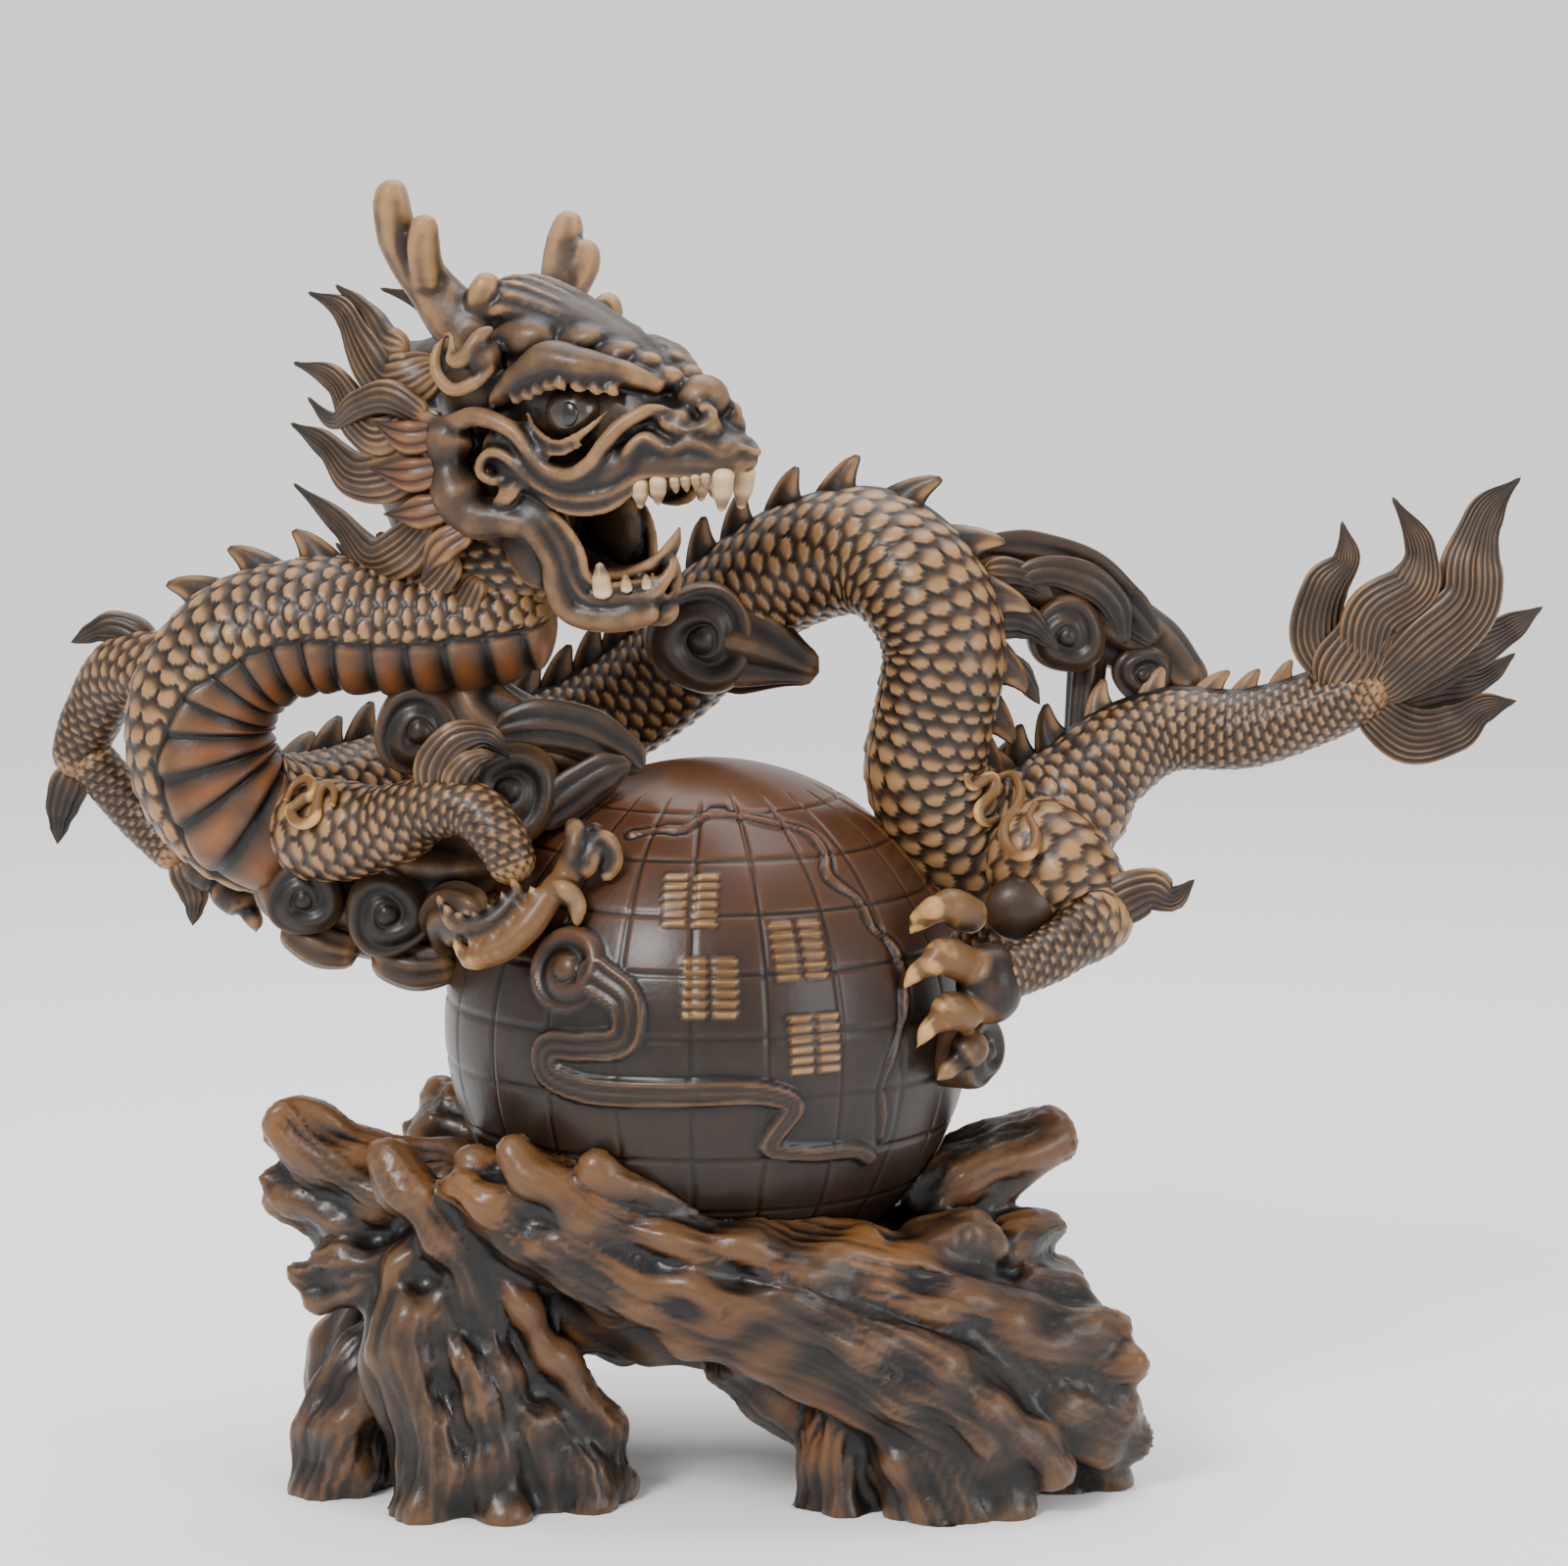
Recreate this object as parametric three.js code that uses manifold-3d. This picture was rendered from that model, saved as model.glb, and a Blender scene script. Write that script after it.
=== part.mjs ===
// A cast dragon coiled over a globe that sits in a root-wood stand. Millimetres, +Z up, front towards -Y.
// Everything is laid out about the globe's centre, and the finished group is shifted so that its origin
// is the middle of the stand's underside.
import * as THREE from "three";
import { mergeVertices } from "three/addons/utils/BufferGeometryUtils.js";
import Module from "manifold-3d";

const wasm = await Module();
wasm.setup();

// ---- driving dimensions ----
const GLOBE_RADIUS = 94.5;
const SEAT_GAP = 0.3; // clearance between castings that touch
const FLOOR_Z = -163; // the stand's flat underside, below the globe's centre
const FIN_PITCH = 17; // spacing of the back fins along the spine
const FIN_HEIGHT = 10.5;
const FIN_LEAN = 5; // how far a fin's tip leans towards the tail
const FULL_BODY = 19; // where the body is thinner than this, its fins shrink with it
const BELLY_PLATE_DEPTH = 0.07; // step of one belly plate, as a share of the body's radius
const PLATES_END = 0.42; // share of the body's length that shows belly plates
const HEAD_HINGE = [-69, -16, 192]; // between the two jaw joints
const HEAD_YAW = THREE.MathUtils.degToRad(-35); // the face turns towards the front
const HEAD_PITCH = THREE.MathUtils.degToRad(9); // and is lifted a little
const CAP = 0.45; // how far a form's rounded end stands out, as a share of its radius
const GNARL = 0.12; // how lumpy a root's section is

// ---- materials ----
const dragonMaterial = new THREE.MeshStandardMaterial({ color: 0x5a4433, roughness: 0.45, metalness: 0.1 });
const globeMaterial = new THREE.MeshStandardMaterial({ color: 0x4a3627, roughness: 0.35, metalness: 0.1 });
const rootMaterial = new THREE.MeshStandardMaterial({ color: 0x6b4526, roughness: 0.45, metalness: 0.05 });

// ---- shaping tools ----
const vec = (p) => new THREE.Vector3(...p);

/** A value from a short list, blended smoothly for t from 0 to 1. */
function blend(list, t) {
  if (!Array.isArray(list)) return list;
  const x = t * (list.length - 1);
  const i = Math.min(Math.floor(x), list.length - 2);
  const f = x - i;
  const s = f * f * (3 - 2 * f);
  return list[i] * (1 - s) + list[i + 1] * s;
}

/** Turns a ring-by-ring grid with a pole at each end into a closed solid. */
function closedGrid(rings, startPole, endPole) {
  const sides = rings[0].length;
  const points = [...rings.flat(), startPole, endPole];
  const last = (rings.length - 1) * sides;
  const start = rings.length * sides;
  const faces = [];
  for (let j = 0; j < sides; j++) {
    const k = (j + 1) % sides;
    for (let i = 0; i < rings.length - 1; i++) {
      const a = i * sides;
      const b = a + sides;
      faces.push(a + j, b + j, b + k, a + j, b + k, a + k);
    }
    faces.push(start, j, k, start + 1, last + k, last + j);
  }
  const geometry = new THREE.BufferGeometry();
  const position = new Float32Array(points.flatMap((p) => [p.x, p.y, p.z]));
  geometry.setAttribute("position", new THREE.BufferAttribute(position, 3));
  geometry.setIndex(faces);
  return geometry;
}

/** A three.js geometry as a manifold solid. */
function solid(geometry) {
  const bare = geometry.clone();
  bare.deleteAttribute("normal");
  bare.deleteAttribute("uv");
  const merged = mergeVertices(bare, 1e-4);
  const made = new wasm.Manifold(
    new wasm.Mesh({
      numProp: 3,
      vertProperties: new Float32Array(merged.attributes.position.array),
      triVerts: new Uint32Array(merged.index.array),
    }),
  );
  if (made.volume() <= 0) throw new Error("a stroke turned inside out");
  return made;
}

/**
 * Carries a section along a curve. faceAt(t) is the direction in which the section is thin. sectionAt(t, i)
 * gives the corners of ring i as [across, thin, along] distances from the curve, anticlockwise.
 */
function sweep(curve, rings, faceAt, sectionAt, capLengths) {
  const grid = [];
  for (let i = 0; i < rings; i++) {
    const t = i / (rings - 1);
    const centre = curve.getPointAt(t);
    const along = curve.getTangentAt(t);
    const thin = faceAt(t);
    thin.addScaledVector(along, -thin.dot(along)).normalize();
    const across = new THREE.Vector3().crossVectors(along, thin);
    const corner = ([x, y, z = 0]) =>
      centre.clone().addScaledVector(across, x).addScaledVector(thin, y).addScaledVector(along, z);
    grid.push(sectionAt(t, i).map(corner));
  }
  const [startCap, endCap] = capLengths;
  return closedGrid(
    grid,
    curve.getPointAt(0).addScaledVector(curve.getTangentAt(0), -startCap),
    curve.getPointAt(1).addScaledVector(curve.getTangentAt(1), endCap),
  );
}

const smoothPath = (points) => new THREE.CatmullRomCurve3(points, false, "centripetal");

/**
 * One carved form: an oval section carried along a smooth path. radius and flat (thickness over width) are
 * numbers or short lists along the path, and face is the direction in which the section is thin.
 */
function stroke(path, radius, options = {}) {
  const { sides = 5, rings = 5, flat = 1, face = [0, -1, 0], place = (p) => p, gnarl = () => 1 } = options;
  const curve = smoothPath(path.map((p) => place(vec(p))));
  const origin = place(vec([0, 0, 0]));
  const faceAt = (t) => (typeof face === "function" ? vec(face(t)) : place(vec(face)).sub(origin));
  const sectionAt = (t) => {
    const half = blend(radius, t);
    const ratio = blend(flat, t);
    return Array.from({ length: sides }, (_, j) => {
      const angle = (2 * Math.PI * j) / sides;
      const reach = half * gnarl(t, angle);
      return [reach * Math.cos(angle), reach * ratio * Math.sin(angle)];
    });
  };
  return solid(sweep(curve, rings, faceAt, sectionAt, [CAP * blend(radius, 0), CAP * blend(radius, 1)]));
}

/** A round or oval lump. */
function lump(centre, radii, options = {}) {
  const { place = (p) => p, columns = 8, rows = 6 } = options;
  const geometry = new THREE.SphereGeometry(1, columns, rows);
  const [rx, ry, rz] = Array.isArray(radii) ? radii : [radii, radii, radii];
  geometry.scale(rx, ry, rz).translate(...centre);
  const position = geometry.attributes.position;
  for (let i = 0; i < position.count; i++) {
    const p = place(new THREE.Vector3().fromBufferAttribute(position, i));
    position.setXYZ(i, p.x, p.y, p.z);
  }
  return solid(geometry);
}

/** A cloud curl that looks along face: a thick disc with a boss and a groove that winds out from it. */
function curl(centre, radius, options = {}) {
  const { face = [0, -1, 0], turn = 1, start = 0, thick = 0.5 } = options;
  const out = vec(face).normalize();
  const across = new THREE.Vector3(0, 0, 1).cross(out).normalize();
  const up = new THREE.Vector3().crossVectors(out, across);
  const at = (reach, angle, height) =>
    vec(centre)
      .addScaledVector(across, radius * reach * Math.cos(angle))
      .addScaledVector(up, -radius * reach * Math.sin(angle))
      .addScaledVector(out, radius * height);
  // [distance from the middle, how much of it the turn takes away, height], as shares of the radius
  const RINGS = [[1, 0, -thick], [1, 0, thick * 0.4], [0.58, 0.2, thick * 0.1], [0.34, 0.2, thick * 0.6]];
  const SIDES = 7;
  const grid = RINGS.map(([reach, winding, height]) =>
    Array.from({ length: SIDES }, (_, j) => {
      const share = (turn > 0 ? SIDES - j : j + 1) / SIDES;
      return at(reach - winding * share, start + (2 * Math.PI * j) / SIDES, height);
    }),
  );
  return solid(closedGrid(grid, at(0, 0, -thick), at(0.02, start, thick * 0.7)));
}

const join = (pieces) => pieces.reduce((whole, piece) => whole.add(piece));

// ---- the dragon's body ----
// From the foot of the neck to the tail: where the body is, the way its back faces, its half thickness.
const SPINE = [
  { at: [-66, -14, 146], back: [0, 0.3, 1], r: 19 },
  { at: [-85, -14, 143], back: [0, 0.3, 1], r: 22.5 },
  { at: [-111, -10, 142], back: [0, 0.3, 1], r: 23 },
  { at: [-142, -4, 142], back: [-0.2, 0.35, 0.9], r: 23.5 },
  { at: [-167, 0, 132], back: [-0.65, 0.35, 0.7], r: 25 },
  { at: [-180, 2, 112], back: [-0.8, 0.6, 0.15], r: 26 },
  { at: [-178, 2, 89], back: [-0.6, 0.8, -0.2], r: 26 },
  { at: [-162, 4, 72], back: [-0.2, 1, 0], r: 25 },
  { at: [-135, 14, 72], back: [0, 0.8, 0.6], r: 23 },
  { at: [-105, 34, 81], back: [-0.1, 0.4, 0.9], r: 21 },
  { at: [-73, 48, 88], back: [-0.2, 0.1, 1], r: 19 },
  { at: [-45, 52, 99], back: [-0.5, 0, 0.85], r: 18.5 },
  { at: [-16, 48, 119], back: [-0.65, 0.05, 0.75], r: 19 },
  { at: [11, 36, 147], back: [-0.6, 0.1, 0.8], r: 20 },
  { at: [36, 24, 163], back: [-0.3, 0.1, 0.95], r: 21 },
  { at: [59, 14, 167], back: [0.15, 0.15, 1], r: 21.5 },
  { at: [76, 4, 155], back: [0.8, 0.2, 0.6], r: 21.5 },
  { at: [84, 0, 135], back: [1, 0.3, 0.15], r: 21 },
  { at: [81, 0, 112], back: [1, 0.35, 0], r: 20.5 },
  { at: [78, 2, 89], back: [1, 0.4, 0.3], r: 21 },
  { at: [91, 8, 68], back: [0.6, 0.4, 0.8], r: 23 },
  { at: [112, 12, 63], back: [0, 0.4, 0.9], r: 25 },
  { at: [130, 14, 76], back: [-0.6, 0.3, 0.75], r: 21 },
  { at: [144, 16, 91], back: [-0.6, 0.2, 0.8], r: 16.5 },
  { at: [165, 18, 102], back: [-0.2, 0.1, 1], r: 14 },
  { at: [193, 14, 103], back: [0, 0.1, 1], r: 13 },
  { at: [217, 8, 111], back: [-0.3, 0.1, 1], r: 12 },
  { at: [237, 2, 121], back: [-0.4, 0, 1], r: 10.5 },
];

const spineCurve = smoothPath(SPINE.map((s) => vec(s.at)));
const spineLength = spineCurve.getLength();
const finCount = Math.round(spineLength / FIN_PITCH);

/** A value of the spine table at a share of its length. */
function alongSpine(pick, share) {
  return blend(SPINE.map(pick), spineCurve.getUtoTmapping(share));
}

/**
 * The body has two rings to each fin. The section's corners are given by their turn from the back. The corner
 * on the back rises into a fin at every other ring, and the belly steps in between its plates.
 */
function dragonBody() {
  const CORNERS = [0, 13, 65, 122, 180, 238, 295, 347];
  const section = (share, i) => {
    const r = alongSpine((s) => s.r, share);
    const tip = i % 2 === 1;
    return CORNERS.map((turn) => {
      const angle = THREE.MathUtils.degToRad(90 + turn);
      const fin = tip && turn === 0;
      const plateStep = tip && share < PLATES_END && Math.sin(angle) < -0.6;
      const rise = fin ? FIN_HEIGHT * Math.min(1, r / FULL_BODY) : 0;
      const reach = plateStep ? r * (1 - BELLY_PLATE_DEPTH) : r + rise;
      return [reach * Math.cos(angle), reach * Math.sin(angle), fin ? FIN_LEAN : 0];
    });
  };
  const faceAt = (share) => vec([0, 1, 2].map((k) => alongSpine((s) => s.back[k], share)));
  const ENDS = [8, 6]; // how far the rounded ends stand out
  return solid(sweep(spineCurve, 2 * finCount + 1, faceAt, section, ENDS));
}

/** The neck drops from the head into the first turn of the body. */
function neck() {
  return stroke([[-76, -14, 186], [-74, -14, 166], [-78, -14, 148]], [21, 21, 20], { sides: 7, rings: 3 });
}

// ---- legs ----
/** A paw: a palm with bent toes, each ending in a claw. A toe is [root, bend, claw tip]. */
function paw(palm, palmRadius, toes) {
  const made = [stroke(palm, palmRadius, { sides: 5, rings: 3 })];
  for (const [root, bend, tip] of toes) {
    made.push(stroke([root, bend, tip], [5.6, 6, 0.9], { sides: 4, rings: 3 }));
  }
  return made;
}

/** A tapering lock of hair or flame. */
const lock = (path, width, options = {}) =>
  stroke(path, [width * 0.75, width, width * 0.62, 0.8], { sides: 4, rings: 4, flat: 0.55, ...options });

function nearForeleg() {
  return [
    stroke(
      [[-152, -8, 72], [-128, -26, 72], [-108, -38, 76], [-89, -46, 86], [-74, -56, 83], [-65, -64, 68]],
      [17, 14.5, 12, 10.5, 9.5, 9],
      { sides: 6, rings: 6 },
    ),
    ...paw([[-48, -60, 68], [-61, -65, 57], [-72, -61, 40]], [8, 9.5, 7], [
      [[-50, -60, 68], [-41, -58, 80], [-31, -62, 66]],
      [[-54, -64, 60], [-41, -70, 66], [-40, -72, 50]],
      [[-64, -64, 48], [-56, -74, 45], [-59, -74, 32]],
      [[-72, -60, 40], [-84, -50, 36], [-84, -48, 21]],
    ]),
    lock([[-89, -44, 92], [-98, -42, 103], [-106, -40, 104]], 6),
  ];
}

function farForeleg() {
  return [
    stroke([[-176, 10, 120], [-211, 34, 123], [-226, 46, 103], [-235, 49, 82]], [14, 12, 10.5, 9], {
      sides: 6,
      rings: 5,
    }),
    lock([[-232, 49, 86], [-238, 51, 70], [-240, 50, 56]], 8),
    lock([[-200, 30, 130], [-216, 34, 138], [-232, 38, 132]], 8),
    stroke([[-230, 48, 92], [-210, 44, 69], [-191, 36, 52]], [8.5, 8.5, 8], { sides: 6, rings: 3 }),
    lock([[-194, 36, 54], [-188, 34, 40], [-189, 36, 28]], 7),
    ...paw([[-191, 34, 54], [-176, 28, 46]], [8, 8], [
      [[-180, 32, 48], [-166, 34, 50], [-158, 30, 38]],
      [[-180, 26, 46], [-168, 22, 38], [-164, 20, 28]],
    ]),
  ];
}

function nearHindLeg() {
  return [
    stroke(
      [[106, 0, 68], [126, -15, 56], [138, -24, 43], [125, -38, 33], [108, -48, 26], [96, -54, 23]],
      [24, 17, 11.5, 9, 8.5, 9],
      { sides: 6, rings: 6 },
    ),
    ...paw([[95, -46, 34], [93, -52, 22], [94, -50, 10]], [7, 8.5, 7], [
      [[95, -44, 34], [88, -42, 48], [71, -44, 50]],
      [[93, -50, 28], [84, -56, 35], [70, -60, 32]],
      [[93, -52, 18], [84, -60, 22], [71, -65, 16]],
      [[94, -50, 8], [88, -56, 4], [76, -62, -4]],
    ]),
    lock([[136, -24, 44], [148, -24, 53], [159, -26, 57], [170, -26, 53]], 7.5),
  ];
}

function farHindLeg() {
  return [
    stroke([[110, 18, 66], [124, 38, 52], [122, 52, 34], [104, 56, 22], [88, 60, 18]], [22, 15, 10, 9, 9], {
      sides: 6,
      rings: 5,
    }),
    ...paw([[88, 56, 28], [84, 60, 12]], [8, 8], [
      [[86, 54, 30], [74, 64, 38], [60, 76, 30]],
      [[84, 60, 12], [76, 70, 10], [64, 74, -2]],
    ]),
  ];
}

// ---- the head, in its own frame: forward, to the dragon's left, up, from the jaw hinge ----
const headPlace = (() => {
  const turn = new THREE.Matrix4()
    .makeTranslation(...HEAD_HINGE)
    .multiply(new THREE.Matrix4().makeRotationZ(HEAD_YAW))
    .multiply(new THREE.Matrix4().makeRotationY(-HEAD_PITCH));
  return (p) => p.applyMatrix4(turn);
})();
const inHead = (options = {}) => ({ place: headPlace, ...options });
const mirrored = (path) => path.map(([f, l, u]) => [f, -l, u]);

/** Makes a form on both sides of the face. */
const bothSides = (path, radius, options) => [
  stroke(path, radius, inHead(options)),
  stroke(mirrored(path), radius, inHead(options)),
];
const LEFT = [0, 1, 0];
const UP = [0, 0, 1];

function skull() {
  return [
    stroke(
      [[-20, 0, 30], [5, 0, 33], [32, 0, 30], [58, 0, 20], [80, 0, 11], [100, 0, 4], [110, 0, -1]],
      [18, 29, 28, 24, 18, 13, 2],
      inHead({ sides: 7, rings: 7, flat: [1, 1.05, 1.1, 0.95, 0.8, 0.4, 0.3], face: UP }),
    ),
    // the crown hair, the dip of the bridge and the ball of the nose
    stroke(
      [[-6, 0, 54], [16, 0, 64], [38, 0, 56], [58, 0, 44], [68, 0, 30], [77, 0, 28], [83, 0, 20],
        [90, 0, 18]],
      [9, 12, 11, 9, 7, 9, 7, 11],
      inHead({ sides: 4, rings: 8, flat: 0.8, face: UP }),
    ),
  ];
}

function face() {
  return [
    // nostril wings and the brow over the eye
    ...[-1, 1].map((side) => lump([85, side * 11, 14], [8, 6, 7], inHead({ columns: 5, rows: 3 }))),
    ...bothSides(
      [[14, -28, 34], [36, -30, 39], [56, -27, 37], [72, -19, 33], [84, -10, 27]],
      [5, 8, 8, 6, 3.5],
      { sides: 4, rings: 5, flat: 0.8, face: UP },
    ),
    ...[-1, 1].map((side) => lump([54, side * 22, 21], [9.5, 7, 8.5], inHead({ columns: 6, rows: 3 }))),
    // the long moustache, from the nose over the cheek to the mane
    ...bothSides(
      [[84, -14, 18], [72, -21, 14], [60, -26, 5], [46, -28, 5], [36, -30, 11], [24, -32.5, 23],
        [10, -34, 25.5], [-13, -36, 33], [-34, -35, 38], [-50, -33, 27]],
      [3.2, 3.4, 3.6, 3.8, 6.5, 6.5, 2],
      { sides: 3, rings: 9, face: LEFT },
    ),
    // the cheek roll, which runs down into the rim of the lower jaw
    ...bothSides(
      [[2, -30, 22], [-1, -32, 8], [6, -31, -7], [26, -28, -13], [35, -26, -24], [37, -22, -40],
        [50, -15, -46], [61, -8, -44], [70, -1, -34]],
      [8, 9, 7, 6, 6, 5.5, 3],
      { sides: 4, rings: 8, face: LEFT },
    ),
    // the ears
    ...bothSides(
      [[-2, -28, 34], [8, -32, 48], [17, -33, 28]],
      [4, 8, 1.5],
      { sides: 4, rings: 4, flat: 0.5, face: LEFT },
    ),
  ];
}

function lowerJaw() {
  return [
    stroke([[4, 0, -12], [20, 0, -30], [36, 0, -43], [52, 0, -45], [70, 0, -38]], [25, 24, 20, 14, 6],
      inHead({ sides: 5, rings: 4, flat: 0.24, face: UP })),
    stroke([[14, 0, -18], [34, 0, -34], [54, 0, -35], [68, 0, -25]], [10, 9, 8, 2],
      inHead({ sides: 4, rings: 4, flat: 0.45, face: UP })),
  ];
}

function teeth() {
  const tooth = (root, tip, r) => stroke([root, tip], [r, 0.5], inHead({ sides: 3, rings: 2, face: LEFT }));
  return [-1, 1].flatMap((side) => [
    tooth([72, side * 16, 9], [69, side * 16, -15], 4.6),
    tooth([83, side * 13, 8], [83, side * 13, -9], 3.6),
    tooth([96, side * 7, 5], [94, side * 7, -14], 4.2),
    tooth([47, side * 15, -44], [46, side * 16, -29], 4),
  ]);
}

function horns() {
  // Each horn is a beam with a side tine and a stub near its root.
  const horn = (side, lift) => [
    stroke(
      [[14, side * 15, 55], [1, side * 22, 71], [-6, side * 31, 88], [2, side * 40, 100 + lift]],
      [9, 7.5, 6, 3.4],
      inHead({ sides: 5, rings: 6 }),
    ),
    stroke([[-4, side * 26, 79], [8, side * 30, 98]], [5, 3.2], inHead({ sides: 4, rings: 2 })),
    stroke([[14, side * 13, 55], [22, side * 17, 74]], [6, 3.4], inHead({ sides: 4, rings: 2 })),
  ];
  const RIGHT_LIFT = 12; // the right horn stands taller than the left
  return [...horn(-1, RIGHT_LIFT), ...horn(1, 0)];
}

function mane() {
  const LOCKS = [
    { path: [[-5, -20, 46], [-24, -27, 42], [-36, -26, 57], [-45, -24, 70], [-64, -20, 79]], width: 15 },
    { path: [[-14, -28, 22], [-34, -33, 18], [-52, -31, 24], [-74, -26, 44]], width: 16 },
    { path: [[-20, -20, -12], [-42, -24, -17], [-62, -21, -6], [-85, -16, 13]], width: 13 },
    { path: [[-18, -14, -26], [-38, -17, -32], [-56, -16, -24], [-70, -14, -10]], width: 10 },
  ];
  const TUFTS = [[-32, 8], [-16, -16]]; // pointed tufts behind the cheek: how far back, and how high
  return [
    ...LOCKS.flatMap(({ path, width }) =>
      bothSides(path, [width * 0.8, width, width * 0.7, 0.8], { sides: 4, rings: 5, flat: 0.45, face: LEFT }),
    ),
    ...TUFTS.flatMap(([f, u]) =>
      bothSides([[2, -31, u + 6], [f, -38, u]], [8.5, 0.8], { sides: 4, rings: 2, flat: 0.5, face: LEFT }),
    ),
    // the hair between the two sides
    stroke([[2, 0, 50], [-24, 0, 46], [-60, 0, 66]], [23, 20, 4],
      inHead({ sides: 5, rings: 3, flat: 0.6, face: UP })),
    stroke([[4, 0, 4], [-30, 0, -4], [-66, 0, 14]], [30, 25, 5],
      inHead({ sides: 5, rings: 3, flat: 0.95, face: UP })),
  ];
}

// ---- flames and clouds ----
function tailFlames() {
  return [
    lock([[226, 4, 122], [217, 3, 138], [220, 2, 156], [227, 0, 166], [225, -1, 180]], 10),
    lock([[234, 0, 120], [236, -5, 146], [250, -8, 158], [252, -8, 171], [242, -6, 189]], 11),
    lock([[236, 2, 118], [253, -3, 136], [269, -5, 152], [271, -4, 168], [277, 0, 184], [289, 4, 195]], 14),
    lock([[236, 4, 116], [262, 7, 130], [282, 9, 138], [299, 12, 148]], 11),
    lock([[236, 4, 114], [259, 9, 119], [277, 12, 122], [290, 15, 131]], 8),
    lock([[234, 3, 114], [251, 2, 103], [266, 0, 106], [276, -2, 113], [288, -4, 116]], 11),
  ];
}

function bodyFlames() {
  return [
    lock([[98, 14, 160], [113, 16, 158], [124, 14, 151]], 7),
    lock([[98, 12, 144], [114, 14, 142], [126, 12, 132]], 8),
    lock([[98, 8, 128], [111, 10, 124], [119, 8, 113]], 7),
  ];
}

function backClouds() {
  // the cloud bank behind the arch, which carries down to the tail
  return [
    stroke(
      [[92, 22, 158], [114, 32, 152], [136, 38, 143], [158, 36, 131], [178, 26, 114]],
      [11, 14, 16, 13, 8],
      { sides: 5, rings: 5 },
    ),
    curl([119, 22, 145], 13, { start: 2 }),
    stroke([[138, 34, 132], [134, 24, 84]], [7, 6], { sides: 4, rings: 2 }),
  ];
}

function frontClouds() {
  return [
    curl([-98, -12, 107], 16, { start: 1, thick: 0.7 }),
    curl([-69, -28, 93], 18, { start: 4, turn: -1, face: [0, -1, 0.2], thick: 0.7 }),
    // the bank between the neck and the globe, which both curls grow from
    stroke([[-90, -4, 128], [-82, -10, 112], [-60, -14, 102], [-30, -14, 94]], [16, 16, 14, 5],
      { sides: 5, rings: 4, flat: 0.8 }),
    curl([-142, -14, 46], 13, { start: 1.5, thick: 0.7 }),
    curl([-114, -16, 43], 15, { start: 0, thick: 0.7 }),
    // the bank that carries the chest on the globe
    stroke([[-160, 2, 58], [-134, 2, 42], [-96, -4, 32]], [15, 16, 14], { sides: 5, rings: 3 }),
    stroke([[-92, -6, 36], [-88, -32, 44], [-76, -50, 46]], [12, 11, 8], { sides: 5, rings: 3 }),
  ];
}

function archCloud() {
  return [
    curl([-2, 16, 136], 20, { start: 3, thick: 0.35 }),
    stroke([[-18, 28, 134], [12, 20, 133], [40, 14, 124]], [14, 17, 6], { sides: 5, rings: 3, flat: 0.55 }),
  ];
}

function hindCloud() {
  const out = [0.86, -0.5, 0];
  return [curl([94, -42, -3], 14, { face: out, start: 1, thick: 0.8 })];
}

// ---- the globe ----
/** A point on the globe's surface, from longitude (0 at the front) and latitude in degrees. */
function onGlobe(longitude, latitude) {
  const a = THREE.MathUtils.degToRad(longitude);
  const b = THREE.MathUtils.degToRad(latitude);
  return [Math.cos(b) * Math.sin(a), -Math.cos(b) * Math.cos(a), Math.sin(b)].map((x) => x * GLOBE_RADIUS);
}

/** A cloud ribbon that wanders down the front. */
function globeRibbon(grow) {
  const WAY = [[-25, 19], [-17, 14], [-17, 6], [-26, 4], [-35, 3], [-35, -2], [-26, -5], [-8, -5],
    [12, -5], [19, -8], [16, -13], [14, -17], [22, -19], [36, -20], [40, -22]];
  const path = WAY.map(([a, b]) => onGlobe(a, b));
  const faceAt = (t) => onGlobe(...WAY[Math.round(t * (WAY.length - 1))]);
  return stroke(path, [5 + grow, 5 + grow, 4 + grow], { sides: 4, rings: 16, flat: 0.5, face: faceAt });
}

function globeCloudHead(grow) {
  const centre = onGlobe(-32, 20);
  return curl(centre, 14 + grow, { face: centre, start: 5, thick: 0.3 });
}

/** The globe, or with grow the bed that it needs in what it touches. */
function globe(grow = 0) {
  const ball = new THREE.SphereGeometry(GLOBE_RADIUS + grow, 20, 12).rotateX(Math.PI / 2);
  return join([solid(ball), globeRibbon(grow), globeCloudHead(grow)]);
}

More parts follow.
